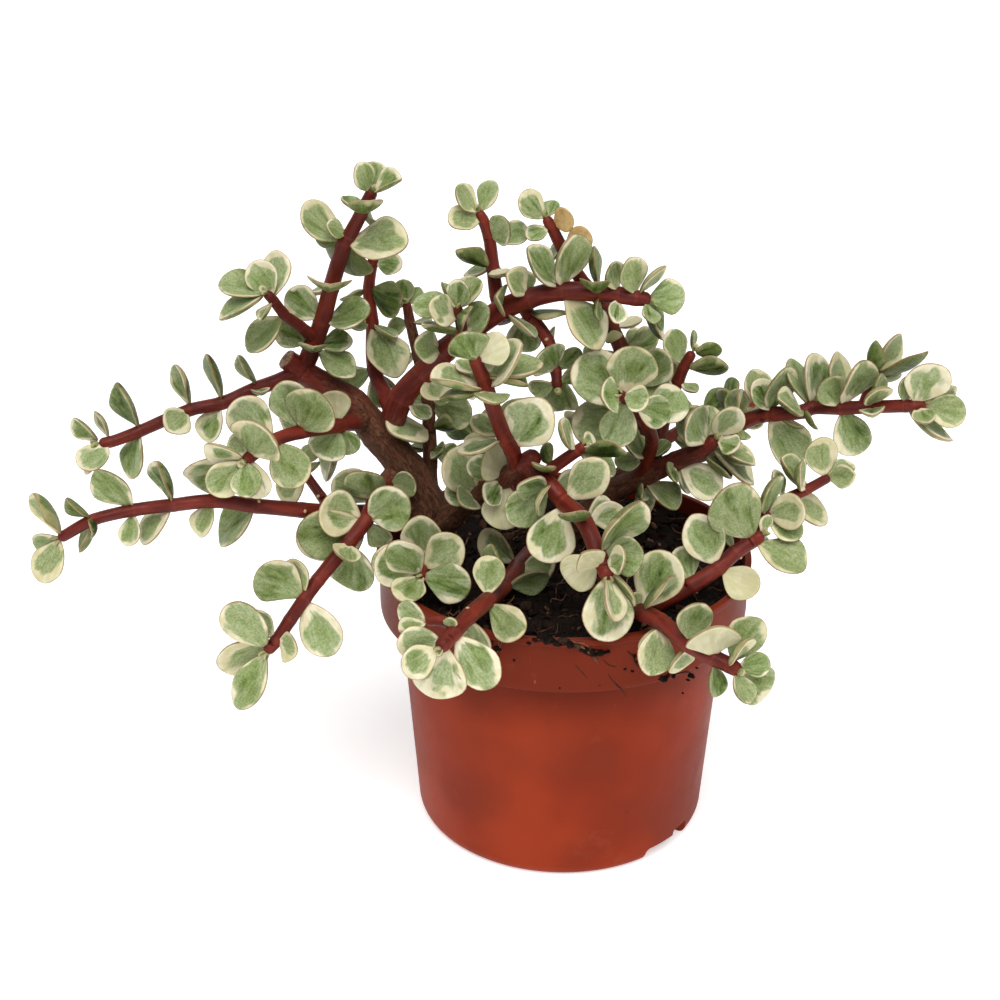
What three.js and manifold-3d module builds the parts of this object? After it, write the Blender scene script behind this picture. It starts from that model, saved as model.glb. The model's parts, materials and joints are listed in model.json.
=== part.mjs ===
// Potted variegated elephant bush: a nursery pot, its soil, and a plant of many leafy shoots.
// Millimetres, +Z up. The origin is the middle of the pot's flat base, and the front is -Y.
import * as THREE from "three";
import { mergeVertices } from "three/addons/utils/BufferGeometryUtils.js";
import Module from "manifold-3d";

const wasm = await Module();
wasm.setup();

// Driving dimensions

const GAP = 0.3; // clearance between pieces that touch

const POT = {
  height: 93,
  lipRadius: 60,
  lipHeight: 2.6,
  collarHeight: 18,
  collarRadius: 59.1,
  waistRadius: 52.8, // body just under the collar
  footRadius: 47.8, // body just above the rounded bottom edge
  footHeight: 4.5,
  baseRadius: 45, // flat part of the base
  wall: 1.2,
  floor: 1.6,
  raisedFloor: 5.8, // floor over the drain slots, from raisedRadius outwards
  raisedRadius: 34,
  step: 1.4, // rise of the slope under the collar
  edge: 0.6, // bevel of the lip and of the collar
  sides: 32,
};

const DRAIN = {
  slotAzimuths: [46, 226], // degrees round from the front, towards the right
  slotSpread: 24,
  slotHeight: 4.2,
  slotInner: 37,
  holeSpread: 5, // of the hole at the slot's end, up through the raised floor
  holeHeight: 6.8,
  holeInner: 43,
  floorHoles: 4,
  floorRing: 20,
  floorRadius: 3.5,
};

const SOIL = {
  edge: 86.5, // height at the wall
  crown: 1.6,
  lumps: 0.8,
  waves: [[0.31, 0.12, 1.3], [-0.2, 0.27, 0.6], [0.41, 0.53, 0]], // x and y share and phase, radians
  rings: 4,
};

const LEAF = {
  thickness: 2.6,
  sides: 6,
  widthRatio: 0.78,
  root: 0.8, // how far a leaf starts behind the middle of its stem
  wedge: 0.7, // under 1 the widest part lies nearer the tip
  backLength: 15, // of the first pair on a shoot at the back
  lastLength: 9,
  forward: 0.7, // lean of those leaves towards the shoot's end
  firstTurn: 0.6, // radians
  stagger: 0.4, // how far one leaf of a pair stands behind the other
  bareNodes: 2,
};

const STEM = {
  fewestSides: 5,
  sidesPerWidth: 0.75,
  step: 12, // longest piece between two rings
  firstNormal: new THREE.Vector3(0.3, 1, 0.2),
};

// The camera that took the photograph, which turns a place in the picture into a place in space

const PHOTO = {
  middle: 500, // pixels
  focal: 1737, // pixels
  elevation: 24.9, // degrees above the horizon
  distance: 550,
  target: new THREE.Vector3(-20.3, 0, 110),
};

// The shoots, traced from the photograph. A shoot with no parent stands in the soil and gives its plant
// its name. thick is the width at its start and at its end. Each node is [x, y, depth] of the stem in
// pixels, pixels and millimetres behind the pot's axis, then its leaves as [tip x, tip y, lean, turn,
// width over length], where lean is the depth of the tip behind the node.
const SHOOTS = [
  {
    name: "trunk", plant: "main_plant", thick: [15, 6.6],
    nodes: [
      [[441, 562, 13]],
      [[438, 545, 12]],
      [[428, 510, 12]],
      [[406, 468, 14]],
      [[378, 434, 16]],
      [[352, 403, 18]],
      [[325, 386, 18]],
      [[304, 372, 18]],
      [[289, 361, 17]],
    ],
  },
  {
    name: "left_upper", parent: "trunk", thick: [4.9, 3.4],
    nodes: [
      [[300, 374, 18]],
      [[258, 388, 13], [239, 355, -2, 72], [250, 399, -8, 30]],
      [[222, 403, 9], [206, 354, -1, 70], [206, 442, -4, 26]],
      [[190, 410, 6], [176, 364, 2, 60], [160, 434, -9, 0, 0.8]],
      [[140, 431, 2], [117, 382, 0, 55], [130, 479, -3, 40]],
      [[110, 442, -2], [94, 411, 2, 65], [74, 466, -6, 20]],
      [[101, 443, -3], [73, 418, 1, 52], [81, 476, -4, 55]],
    ],
  },
  {
    name: "left_lower", parent: "trunk", thick: [5.6, 3.4],
    nodes: [
      [[414, 505, 11]],
      [[372, 512, 3]],
      [[330, 512, -6]],
      [[302, 510, -12]],
      [[257, 506, -16], [218, 539, 5, 42]],
      [[214, 501, -20], [199, 537, -3, 28]],
      [[173, 505, -24], [156, 461, -2, 60], [141, 543, -3, 45]],
      [[134, 510, -28], [97, 469, -3, 34], [107, 536, -5, 24]],
      [[93, 520, -30], [66, 498, -1, 62], [73, 548, 2, 60], [84, 536, -8, 100]],
      [[62, 537, -32], [33, 493, -2, 65], [38, 580, -3, 20], [36, 553, 4, 15]],
    ],
  },
  {
    name: "left_middle", parent: "trunk", thick: [5.2, 3.4],
    nodes: [
      [[366, 419, 16]],
      [[340, 425, 4], [331, 391, -5, 0], [318, 457, -7, 0, 1.08], [351, 455, -3, 10, 0.9],
        [326, 481, 5, 60]],
      [[300, 432, -8], [284, 381, -1, 0], [318, 391, -8, 0, 0.9], [279, 423, 6, 55]],
      [[275, 440, -14], [231, 403, -3, 0], [300, 487, -6, 0, 0.85]],
      [[250, 457, -20], [263, 426, -10, 0, 1.0], [187, 479, 5, 46], [261, 498, -1, 12],
        [228, 440, 6, 20]],
      [[246, 460, -22], [204, 447, -4, 55], [209, 492, -7, 15], [245, 501, -10, 10]],
    ],
  },
  {
    name: "left_inner", parent: "left_lower", thick: [3.4, 2.8],
    nodes: [
      [[330, 510, -5]],
      [[321, 496, 0]],
      [[306, 475, 3], [279, 498, 3, 15], [320, 461, 5, 66]],
      [[300, 466, 3], [281, 447, 4, 20], [318, 447, 6, 20]],
    ],
  },
  {
    name: "crown_left", parent: "trunk", thick: [6.2, 3.8],
    nodes: [
      [[303, 372, 18]],
      [[313, 346, 18], [361, 363, -4, 45], [281, 322, -3, 0, 0.85], [352, 336, 1, 20],
        [315, 344, -11, 80]],
      [[322, 322, 18], [288, 294, -4, 14], [371, 310, -5, 35]],
      [[331, 288, 17], [331, 285, -14, 62, 0.95], [313, 289, 11, 55]],
      [[345, 243, 16], [316, 197, -3, 36], [411, 238, -5, 28], [314, 252, 2, 158]],
      [[349, 236, 16], [347, 272, 11, 160, 1.0], [348, 210, -2, 58]],
      [[362, 212, 15], [370, 200, -11, 104, 0.85], [346, 203, 8, 62], [374, 226, 9, 80]],
      [[371, 194, 14], [357, 161, -2, 35], [378, 160, 5, 10], [402, 176, -3, 45]],
    ],
  },
  {
    name: "crown_left_side", parent: "crown_left", thick: [3.8, 3.0],
    nodes: [
      [[314, 338, 18]],
      [[300, 326, 13]],
      [[285, 315, 9], [246, 349, 0, 36]],
      [[273, 300, 5], [250, 270, -5, 5], [271, 248, 4, 28], [256, 311, -7, 72]],
      [[267, 294, 3], [218, 277, 1, 32], [214, 309, -3, 60]],
    ],
  },
  {
    name: "crown_back", parent: "arch", thick: [5.0, 3.2],
    nodes: [
      [[392, 408, 16]],
      [[374, 368, 28], [342, 391, -2, 32], [388, 408, -4, 15]],
      [[372, 322, 32], [352, 340, -6, 12], [398, 338, -6, 70], [397, 380, -5, 26]],
      [[369, 288, 34], [403, 311, -6, 148, 0.95], [340, 300, 3, 78]],
      [[373, 262, 35], [402, 266, -4, 12], [352, 272, -3, 42]],
      [[377, 252, 36], [392, 236, 3, 30], [364, 234, 5, 30]],
    ],
  },
  {
    name: "arch", parent: "trunk", thick: [8.4, 4.4],
    nodes: [
      [[386, 440, 15]],
      [[402, 397, 14], [424, 425, -5, 30]],
      [[425, 372, 10], [443, 396, -8, 0, 0.95]],
      [[446, 350, 6], [414, 347, -9, 0, 0.8]],
      [[470, 331, 2], [496, 366, 6, 40]],
      [[503, 309, 0], [499, 283, -8, 75], [538, 335, -8, 75]],
      [[530, 298, -2], [503, 264, 3, 30], [521, 261, 8, 20], [543, 275, 6, 20]],
      [[562, 291, -3], [549, 237, -2, 54], [572, 233, -5, 48], [600, 350, -6, 30, 0.7],
        [584, 262, 4, 40]],
      [[600, 293, -4], [592, 246, 2, 74], [578, 279, -8, 110], [577, 311, -4, 30]],
      [[619, 295, -5], [610, 266, -4, 30], [631, 321, -7, 28]],
      [[636, 298, -6], [633, 258, -3, 25], [661, 261, 1, 72]],
      [[645, 299, -6], [685, 306, -2, 5, 0.95], [660, 322, -6, 40], [669, 339, 1, 65]],
    ],
  },
  {
    name: "crown_middle", parent: "arch", thick: [4.8, 3.0],
    nodes: [
      [[505, 322, 0]],
      [[497, 296, 5]],
      [[493, 268, 6], [456, 250, -4, 115], [464, 274, 4, 60], [497, 289, -8, 0], [515, 274, 7, 60]],
      [[489, 237, 8], [508, 222, -9, 0], [529, 232, -1, 26]],
      [[483, 220, 8], [450, 208, 4, 52], [446, 222, -5, 25]],
      [[480, 214, 8], [455, 186, -2, 34], [490, 179, 2, 30]],
    ],
  },
  {
    name: "crown_right", parent: "right_main", thick: [6.0, 3.2],
    nodes: [
      [[628, 484, 14]],
      [[640, 440, 20]],
      [[636, 390, 17], [668, 350, 2, 15], [673, 386, 0, 20]],
      [[622, 350, 12], [644, 330, 4, 12], [601, 351, -3, 20], [660, 336, -3, 25]],
      [[612, 328, 10], [608, 313, -4, 0], [642, 323, -3, 65]],
      [[602, 303, 8]],
      [[580, 278, 6]],
      [[562, 248, 6], [592, 236, 2, 5, 0.85], [549, 264, 6, 62]],
      [[551, 226, 6], [526, 236, -4, 26], [574, 213, -2, 0, 0.95]],
      [[547, 220, 6], [521, 193, -2, 15], [559, 200, 4, 24]],
    ],
  },
  {
    name: "knee", parent: "arch", thick: [4.0, 3.0],
    nodes: [
      [[448, 349, 6]],
      [[461, 333, -1], [477, 301, -5, 35], [428, 313, -6, 100]],
      [[460, 318, -4], [430, 297, -5, 20], [451, 291, -5, 57]],
      [[458, 310, -5], [463, 275, 3, 7], [420, 281, 4, 22], [441, 279, 6, 56], [481, 280, 5, 22]],
    ],
  },
  {
    name: "inner_left", parent: "trunk", thick: [5.2, 3.0],
    nodes: [
      [[428, 506, 15], [455, 491, -4, 55]],
      [[430, 450, 20], [402, 456, -3, 40], [458, 470, 3, 40], [413, 470, -7, 55]],
      [[429, 428, 23], [385, 430, -15, 30], [455, 432, -4, 142]],
      [[428, 400, 26], [470, 424, 0, 20], [404, 388, 4, 20], [445, 381, -1, 30]],
      [[418, 355, 30], [396, 372, 0, 20], [440, 372, 2, 30]],
      [[410, 322, 32], [432, 326, -4, 60], [392, 342, 0, 30]],
      [[407, 306, 32], [399, 282, -2, 10], [418, 284, 4, 20], [388, 312, 2, 30]],
    ],
  },
  {
    name: "front_trunk", parent: "trunk", thick: [6.6, 6.0],
    nodes: [
      [[444, 522, 9]],
      [[478, 497, -4], [450, 452, -4, 25], [467, 498, -12, 40], [450, 508, 4, 40]],
      [[505, 478, -14], [477, 463, -8, 5, 0.95], [502, 530, -8, 0, 0.85], [467, 479, 4, 35],
        [482, 497, -9, 20]],
      [[524, 464, -20]],
      [[531, 459, -22]],
    ],
  },
  {
    name: "front_up", parent: "front_trunk", thick: [5.4, 4.0],
    nodes: [
      [[516, 470, -18]],
      [[512, 450, -22], [534, 393, -7, 3, 0.72]],
      [[505, 438, -24], [456, 446, -5, 65], [468, 424, 5, 40], [521, 393, 3, 52]],
      [[487, 390, -30], [430, 372, -4, 65], [530, 347, -3, 55], [493, 403, -12, 26, 0.9],
        [441, 396, 3, 80]],
      [[482, 376, -31], [456, 357, 5, 40], [541, 366, 8, 60], [463, 407, 6, 16], [528, 384, 4, 50]],
      [[476, 362, -32], [466, 330, -6, 0, 0.95], [506, 341, -4, 10, 0.85]],
    ],
  },
  {
    name: "front_down", parent: "front_trunk", thick: [5.8, 4.6],
    nodes: [
      [[527, 466, -21.5]],
      [[551, 487, -28], [508, 522, -4, 10], [532, 500, -12, 50], [519, 482, -7, 40], [580, 482, 6, 20]],
      [[564, 502, -32], [541, 562, -8, 0, 0.8], [612, 468, -4, 0, 0.66]],
      [[584, 521, -41], [584, 547, -9, 0, 1.05], [625, 509, 1, 15], [609, 497, 6, 25]],
      [[599, 556, -51], [648, 515, -6, 55], [641, 546, -4, 0, 0.95], [567, 583, 3, 0, 0.9]],
      [[604, 566, -53], [632, 579, -9, 5], [582, 554, -8, 25], [633, 609, -5, 45]],
      [[606, 573, -55], [610, 626, -7, 60], [614, 638, -3, 5, 0.8]],
    ],
  },
  {
    name: "front_spur", parent: "front_down", thick: [4.2, 3.2],
    nodes: [
      [[541, 479, -25]],
      [[553, 468, -24], [531, 480, -8, 60], [537, 444, 2, 150]],
      [[577, 451, -26], [551, 424, -3, 55], [628, 455, -3, 105], [619, 465, 5, 42]],
      [[582, 447, -27], [592, 436, 6, 20]],
    ],
  },
  {
    name: "inner_middle", parent: "arch", thick: [4.4, 3.2],
    nodes: [
      [[520, 300, -1]],
      [[527, 312, 4], [529, 355, -2, 5, 0.9], [568, 313, -5, 105]],
      [[548, 340, 0], [548, 338, 10, 80]],
      [[556, 372, -6], [541, 352, -8, 0, 1.0], [576, 345, 3, 20], [568, 411, 3, 24]],
      [[557, 384, -8], [530, 388, 4, 40], [571, 358, 5, 35]],
    ],
  },
  {
    name: "rosette", parent: "right_main", thick: [4.8, 3.0],
    nodes: [
      [[634, 481, 13]],
      [[647, 459, 8], [632, 429, -5, 60], [672, 445, 3, 32], [653, 431, 5, 35], [619, 470, 3, 35]],
      [[652, 440, 3]],
      [[641, 415, -6], [571, 426, 2, 0, 0.75], [690, 399, 6, 5]],
      [[633, 405, -10], [574, 362, 0, 0, 0.75], [672, 414, 0, 0, 0.9]],
      [[626, 399, -14], [637, 346, -4, 0, 0.85], [613, 448, -5, 0, 0.8]],
      [[621, 395, -17], [601, 396, -9, 0, 1.0], [649, 402, -5, 0, 0.95]],
    ],
  },
  {
    name: "right_spur", parent: "right_main", thick: [4.8, 3.4],
    nodes: [
      [[650, 474, 11]],
      [[659, 440, 17]],
      [[668, 405, 21], [668, 352, 0, 15], [694, 416, 4, 30]],
      [[678, 381, 22], [698, 389, -5, 35], [677, 349, 3, 24]],
      [[684, 367, 22], [729, 366, -3, 118], [679, 328, 1, 25]],
      [[692, 353, 22], [688, 330, 3, 70], [722, 350, -3, 132]],
    ],
  },
  {
    name: "right_main", plant: "right_plant", thick: [9.0, 4.4],
    nodes: [
      [[560, 546, 22]],
      [[572, 530, 20]],
      [[600, 498, 16]],
      [[640, 478, 12], [655, 525, -6, 40], [627, 492, -8, 60], [632, 512, 4, 30], [659, 491, 5, 35]],
      [[676, 461, 8], [716, 499, -5, 14], [685, 496, -2, 60], [660, 486, -6, 32]],
      [[700, 450, 6], [688, 407, -4, 10, 0.7], [735, 479, -1, 68], [712, 406, 7, 30]],
      [[708, 445, 5], [690, 412, -9, 25], [758, 482, 3, 36], [754, 442, 5, 20]],
      [[714, 440, 4], [728, 403, -3, 15], [753, 469, -4, 65], [742, 450, -6, 10]],
    ],
  },
  {
    name: "right_upper", parent: "right_main", thick: [5.6, 3.8],
    nodes: [
      [[664, 466, 10]],
      [[684, 460, 16]],
      [[706, 452, 18]],
      [[738, 425, 18], [722, 383, 6, 95], [735, 388, 2, 10], [760, 431, -7, 70], [738, 391, -8, 70]],
      [[768, 414, 16], [748, 371, 7, 20], [775, 363, -3, 32, 0.75], [804, 461, -2, 15]],
      [[775, 414, 15], [757, 383, -2, 18], [800, 431, 5, 82]],
      [[805, 411, 12], [811, 423, -10, 60], [789, 391, -9, 60]],
      [[811, 408, 12], [792, 358, 4, 50], [806, 353, 8, 25], [825, 373, 3, 85]],
      [[841, 408, 8], [825, 378, -4, 5], [831, 352, 5, 50], [851, 354, -3, 20, 0.75],
        [858, 455, -2, 0, 0.8]],
      [[872, 407, 5], [897, 411, -9, 60], [877, 378, -6, 15], [866, 372, 5, 60]],
      [[905, 406, 1], [908, 377, -2, 15], [953, 440, 0, 65]],
      [[914, 406, 0], [931, 357, -3, 0, 0.85], [945, 416, -6, 45]],
      [[921, 405, 0], [967, 411, -2, 10], [962, 398, 5, 40]],
    ],
  },
  {
    name: "right_upper_side", parent: "right_upper", thick: [3.2, 2.6],
    nodes: [
      [[863, 405, 6]],
      [[868, 390, 10]],
      [[871, 379, 11], [884, 341, 1, 112], [904, 377, 3, 80]],
      [[874, 375, 11], [895, 329, 5, 50], [929, 352, 0, 102]],
    ],
  },
  {
    name: "right_lower", parent: "right_pot", thick: [4.2, 3.0],
    nodes: [
      [[743, 548, -26]],
      [[752, 531, -21]],
      [[765, 517, -20], [788, 481, -5, 65], [799, 530, -9, 30], [808, 507, -7, 0, 0.8]],
      [[785, 500, -16], [775, 469, 5, 50], [828, 520, 3, 42]],
      [[806, 490, -14], [784, 455, 2, 50], [797, 466, -6, 50], [823, 474, 3, 35]],
      [[826, 479, -14], [818, 438, -2, 0, 0.72], [858, 474, -3, 5], [855, 462, 4, 50]],
    ],
  },
  {
    name: "right_pot", plant: "right_low_stem", thick: [5.8, 4.0],
    nodes: [
      [[642, 611, -28]],
      [[658, 603, -31]],
      [[692, 585, -30], [686, 545, 5, 10]],
      [[718, 568, -28], [695, 511, 3, 0, 0.7], [758, 592, -7, 0, 0.8]],
      [[736, 552, -26], [735, 524, 5, 40]],
      [[753, 541, -25], [738, 480, -5, 0, 0.72], [803, 572, -4, 35]],
      [[760, 536, -25], [768, 513, 3, 38], [782, 552, 3, 68]],
    ],
  },
  {
    name: "right_rim", plant: "right_rim_stem", thick: [5.6, 4.4],
    nodes: [
      [[606, 596, -20]],
      [[625, 601, -32]],
      [[641, 612, -51], [654, 578, -8, 60], [672, 554, 4, 0, 0.8], [632, 592, 4, 40]],
      [[661, 622, -63], [655, 677, -8, 15], [643, 652, 1, 40]],
      [[690, 645, -72], [699, 603, -5, 5, 0.62], [668, 665, 6, 60]],
      [[714, 658, -76], [716, 628, -8, 0, 1.0], [722, 697, -5, 45]],
      [[729, 665, -78], [764, 622, 2, 15], [748, 635, -5, 65]],
      [[734, 668, -79], [770, 660, 0, 15], [773, 692, 1, 0, 0.9], [749, 705, -6, 40]],
    ],
  },
  {
    name: "left_rim", plant: "left_rim_stem", thick: [5.8, 4.4],
    nodes: [
      [[531, 552, 12]],
      [[518, 567, -8], [549, 606, -10, 15], [482, 530, 5, 40]],
      [[503, 587, -27], [491, 544, 0, 60], [548, 590, 4, 40]],
      [[487, 601, -48], [489, 555, 6, 15], [525, 640, -12, 5, 0.64]],
      [[469, 616, -59], [484, 650, 2, 30]],
      [[454, 632, -66], [491, 689, -5, 5, 0.66], [441, 621, 4, 50]],
      [[446, 641, -69], [396, 641, -1, 15], [437, 699, 0, 5, 0.85]],
      [[442, 646, -71], [403, 673, -5, 10, 0.75]],
    ],
  },
  {
    name: "left_rim_side", parent: "left_rim", thick: [3.2, 2.6],
    nodes: [
      [[458, 627, -64]],
      [[440, 621, -62]],
      [[428, 622, -61], [393, 611, 2, 15], [396, 628, -4, 60]],
    ],
  },
  {
    name: "pot_rosette", parent: "trunk", thick: [4.4, 3.2],
    nodes: [
      [[438, 553, 8]],
      [[430, 558, -8]],
      [[425, 563, -18], [424, 518, -3, 5, 0.8], [452, 602, -3, 50], [411, 611, -1, 30]],
      [[422, 570, -25], [374, 562, -3, 5, 0.92], [464, 541, 5, 10, 0.85]],
      [[421, 575, -28], [391, 543, -8, 10, 0.65], [471, 588, -6, 5, 0.8], [427, 619, -6, 0, 0.85]],
    ],
  },
  {
    name: "left_drooping", parent: "trunk", thick: [5.4, 3.8],
    nodes: [
      [[397, 471, 14]],
      [[386, 486, 6], [416, 484, -6, 15]],
      [[374, 504, -3], [334, 478, -1, 15, 0.85], [360, 472, -9, 15]],
      [[366, 520, -9], [409, 499, -8, 5, 0.8], [310, 519, -3, 5, 0.88], [386, 545, 2, 20],
        [300, 518, 6, 10, 0.8], [293, 528, 10, 40]],
      [[350, 541, -15], [337, 570, -10, 0, 0.85], [354, 591, 4, 15]],
      [[318, 580, -22]],
      [[305, 598, -25], [263, 561, -3, 5, 0.85], [306, 555, 5, 20], [332, 656, -5, 5, 0.7]],
      [[290, 620, -28]],
      [[276, 641, -31], [251, 611, 3, 20], [301, 642, -5, 0, 1.0], [219, 668, -1, 40]],
      [[268, 650, -33], [227, 604, -4, 15, 0.62], [236, 708, -5, 30, 0.6]],
    ],
  },
];

// Shoots at the back, which the photograph hides, as [x, y, z] along the stem with a pair of leaves
// at each place after the second
const BACK_SHOOTS = [
  {
    name: "back_left", parent: "trunk", thick: [4.6, 3.2],
    places: [[-57, 16, 122], [-62, 27, 121], [-68, 38, 121], [-75, 48, 121], [-82, 56, 120], [-87, 61, 119]],
  },
  {
    name: "back_low", plant: "back_low_stem", thick: [5.0, 3.4],
    places: [[-14, 30, 80], [-17, 39, 93], [-21, 52, 100], [-25, 65, 102], [-29, 77, 99], [-31, 85, 95]],
  },
  {
    name: "back_middle", plant: "back_stem", thick: [5.4, 3.4],
    places: [[8, 30, 80], [10, 38, 97], [12, 48, 110], [14, 59, 120], [17, 69, 126], [20, 77, 128]],
  },
  {
    name: "back_right", parent: "right_main", thick: [4.8, 3.2],
    places: [[14, 16, 108], [25, 28, 111], [37, 40, 115], [49, 51, 117], [60, 61, 117], [68, 68, 115]],
  },
];

// From the photograph to space

const tilt = THREE.MathUtils.degToRad(PHOTO.elevation);
const TO_VIEWER = new THREE.Vector3(0, -Math.cos(tilt), Math.sin(tilt));
const PICTURE_UP = new THREE.Vector3(0, Math.sin(tilt), Math.cos(tilt));
const VIEWER = PHOTO.target.clone().addScaledVector(TO_VIEWER, PHOTO.distance);

// The point seen at picture place (x, y) that lies depth behind the pot's axis
function seen(x, y, depth) {
  const ray = TO_VIEWER.clone()
    .multiplyScalar(-PHOTO.focal)
    .addScaledVector(PICTURE_UP, PHOTO.middle - y);
  ray.x += x - PHOTO.middle;
  return VIEWER.clone().addScaledVector(ray, (depth - VIEWER.y) / ray.y);
}

// A leaf from its node's place and its tip. turn is 0 where its upper face looks at the viewer,
// 90 where it is seen edge-on with that face to the shoot's end, and 180 where it is seen from below.
function leafToTip(node, tip, turn, ratio, ahead) {
  const along = tip.clone().sub(node);
  const length = along.length();
  along.normalize();
  const facing = TO_VIEWER.clone().addScaledVector(along, -TO_VIEWER.dot(along)).normalize();
  const sideways = along.clone().cross(facing);
  if (sideways.dot(ahead) < 0) sideways.negate();
  const angle = THREE.MathUtils.degToRad(turn);
  const up = facing.multiplyScalar(Math.cos(angle)).addScaledVector(sideways, Math.sin(angle));
  return { base: node.clone(), along, up, length, width: length * ratio };
}

// Shoots as points along the stem and the leaves that stand on them
function growSeen({ nodes, ...shoot }) {
  const points = nodes.map(([[x, y, depth]]) => seen(x, y, depth));
  const leaves = nodes.flatMap(([[, , depth], ...tips], i) => {
    const ahead = points[Math.min(i + 1, points.length - 1)].clone().sub(points[Math.max(i - 1, 0)]);
    return tips.map(([x, y, lean, turn, ratio = LEAF.widthRatio]) =>
      leafToTip(points[i], seen(x, y, depth + lean), turn, ratio, ahead));
  });
  return { ...shoot, points, leaves };
}

// A pair of leaves at each place, every pair turned a quarter from the last
function growBack({ places, ...shoot }) {
  const points = places.map((place) => new THREE.Vector3(...place));
  const leaves = points.slice(LEAF.bareNodes).flatMap((point, i) => {
    const before = points[i + LEAF.bareNodes - 1];
    const ahead = point.clone().sub(before).normalize();
    const level = new THREE.Vector3(-ahead.y, ahead.x, 0).normalize();
    const spoke = level.applyAxisAngle(ahead, (i * Math.PI) / 2 + LEAF.firstTurn);
    const last = i === points.length - LEAF.bareNodes - 1;
    const length = last ? LEAF.lastLength : LEAF.backLength - i;
    return [1, -1].map((sign) => {
      const along = spoke.clone().multiplyScalar(sign).addScaledVector(ahead, LEAF.forward).normalize();
      const up = ahead.clone().addScaledVector(along, -ahead.dot(along)).normalize();
      const base = point.clone().addScaledVector(ahead, -LEAF.stagger * (1 + sign));
      return { base, along, up, length, width: length * LEAF.widthRatio };
    });
  });
  return { ...shoot, points, leaves };
}

// Leaves give way to one another, to the stems and to the pot

const PROBES = [
  [0.42, -0.45], [0.42, 0], [0.42, 0.45],
  [0.68, -0.8], [0.68, -0.27], [0.68, 0.27], [0.68, 0.8],
  [0.93, -0.5], [0.93, 0], [0.93, 0.5],
]; // places on a leaf, as shares of its length and of half its width

const SETTLE = {
  rounds: 60,
  leafGap: 3.2,
  stemGap: 1.9,
  potGap: 2,
  wallBand: 4, // inside the rim by less than this, a leaf moves over the wall
  firmness: 0.6,
};

function probesOf(leaf) {
  const side = leaf.along.clone().cross(leaf.up);
  return PROBES.map(([along, across]) =>
    leaf.base.clone()
      .addScaledVector(leaf.along, along * leaf.length)
      .addScaledVector(side, (across * leaf.width) / 2));
}

// How far a point has to move to be clear of the pot's wall and of the soil
function pushFromPot(point) {
  const radius = Math.hypot(point.x, point.y);
  const rise = POT.height + SETTLE.potGap - point.z;
  const out = POT.lipRadius + SETTLE.potGap - radius;
  if (rise <= 0 || out <= 0) return null;
  const soilRise = SOIL.edge + SOIL.crown + SETTLE.potGap - point.z;
  if (radius < POT.lipRadius - SETTLE.wallBand) return soilRise > 0 ? new THREE.Vector3(0, 0, soilRise) : null;
  if (rise < out) return new THREE.Vector3(0, 0, rise);
  return new THREE.Vector3(point.x, point.y, 0).setLength(out);
}

function nearestOnSegment(point, from, to) {
  return new THREE.Line3(from, to).closestPointToPoint(point, true, new THREE.Vector3());
}

// Turns every leaf about its base, a little in each round, away from what its probes come too near to
function settle(shoots) {
  const leaves = shoots.flatMap((shoot) => shoot.leaves);
  const segments = shoots.flatMap(({ points, thick }) =>
    points.slice(1).map((to, i) => ({
      from: points[i],
      to,
      clear: THREE.MathUtils.lerp(thick[0], thick[1], (i + 0.5) / (points.length - 1)) / 2
        + SETTLE.stemGap,
    })));
  for (let round = 0; round < SETTLE.rounds; round++) {
    const probes = leaves.map(probesOf);
    const turns = leaves.map(() => ({ sum: new THREE.Vector3(), count: 0 }));
    const push = (i, point, move) => {
      const arm = point.clone().sub(leaves[i].base);
      turns[i].sum.add(arm.clone().cross(move).divideScalar(arm.lengthSq()));
      turns[i].count++;
    };
    leaves.forEach((leaf, i) => {
      for (let j = i + 1; j < leaves.length; j++) {
        if (leaf.base.distanceTo(leaves[j].base) > leaf.length + leaves[j].length + SETTLE.leafGap) continue;
        for (const a of probes[i]) for (const b of probes[j]) {
          const apart = a.clone().sub(b);
          const lacking = SETTLE.leafGap - apart.length();
          if (lacking <= 0) continue;
          apart.setLength(lacking / 2);
          push(i, a, apart);
          push(j, b, apart.clone().negate());
        }
      }
      for (const point of probes[i]) {
        for (const { from, to, clear } of segments) {
          const away = point.clone().sub(nearestOnSegment(point, from, to));
          const lacking = clear - away.length();
          if (lacking > 0) push(i, point, away.setLength(lacking));
        }
        const move = pushFromPot(point);
        if (move) push(i, point, move);
      }
    });
    leaves.forEach((leaf, i) => {
      const { sum, count } = turns[i];
      if (!count) return;
      const angle = (sum.length() * SETTLE.firmness) / Math.sqrt(count);
      const axis = sum.normalize();
      leaf.along.applyAxisAngle(axis, angle);
      leaf.up.applyAxisAngle(axis, angle);
    });
  }
}

// Solids

function solidOf(geometry) {
  const plain = new THREE.BufferGeometry().setAttribute("position", geometry.getAttribute("position"));
  plain.setIndex(geometry.index);
  const merged = mergeVertices(plain, 1e-4);
  return new wasm.Manifold(new wasm.Mesh({
    numProp: 3,
    vertProperties: merged.getAttribute("position").array,
    triVerts: new Uint32Array(merged.index.array),
  }));
}

function geometryOf(solid) {
  const mesh = solid.getMesh();
  return new THREE.BufferGeometry()
    .setAttribute("position", new THREE.BufferAttribute(mesh.vertProperties, 3))
    .setIndex(new THREE.BufferAttribute(mesh.triVerts, 1));
}

// A closed solid of revolution from (radius, height) pairs, upright
function turned(profile, sides) {
  return new THREE.LatheGeometry(profile.map(([r, z]) => new THREE.Vector2(r, z)), sides)
    .rotateX(Math.PI / 2);
}

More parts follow.
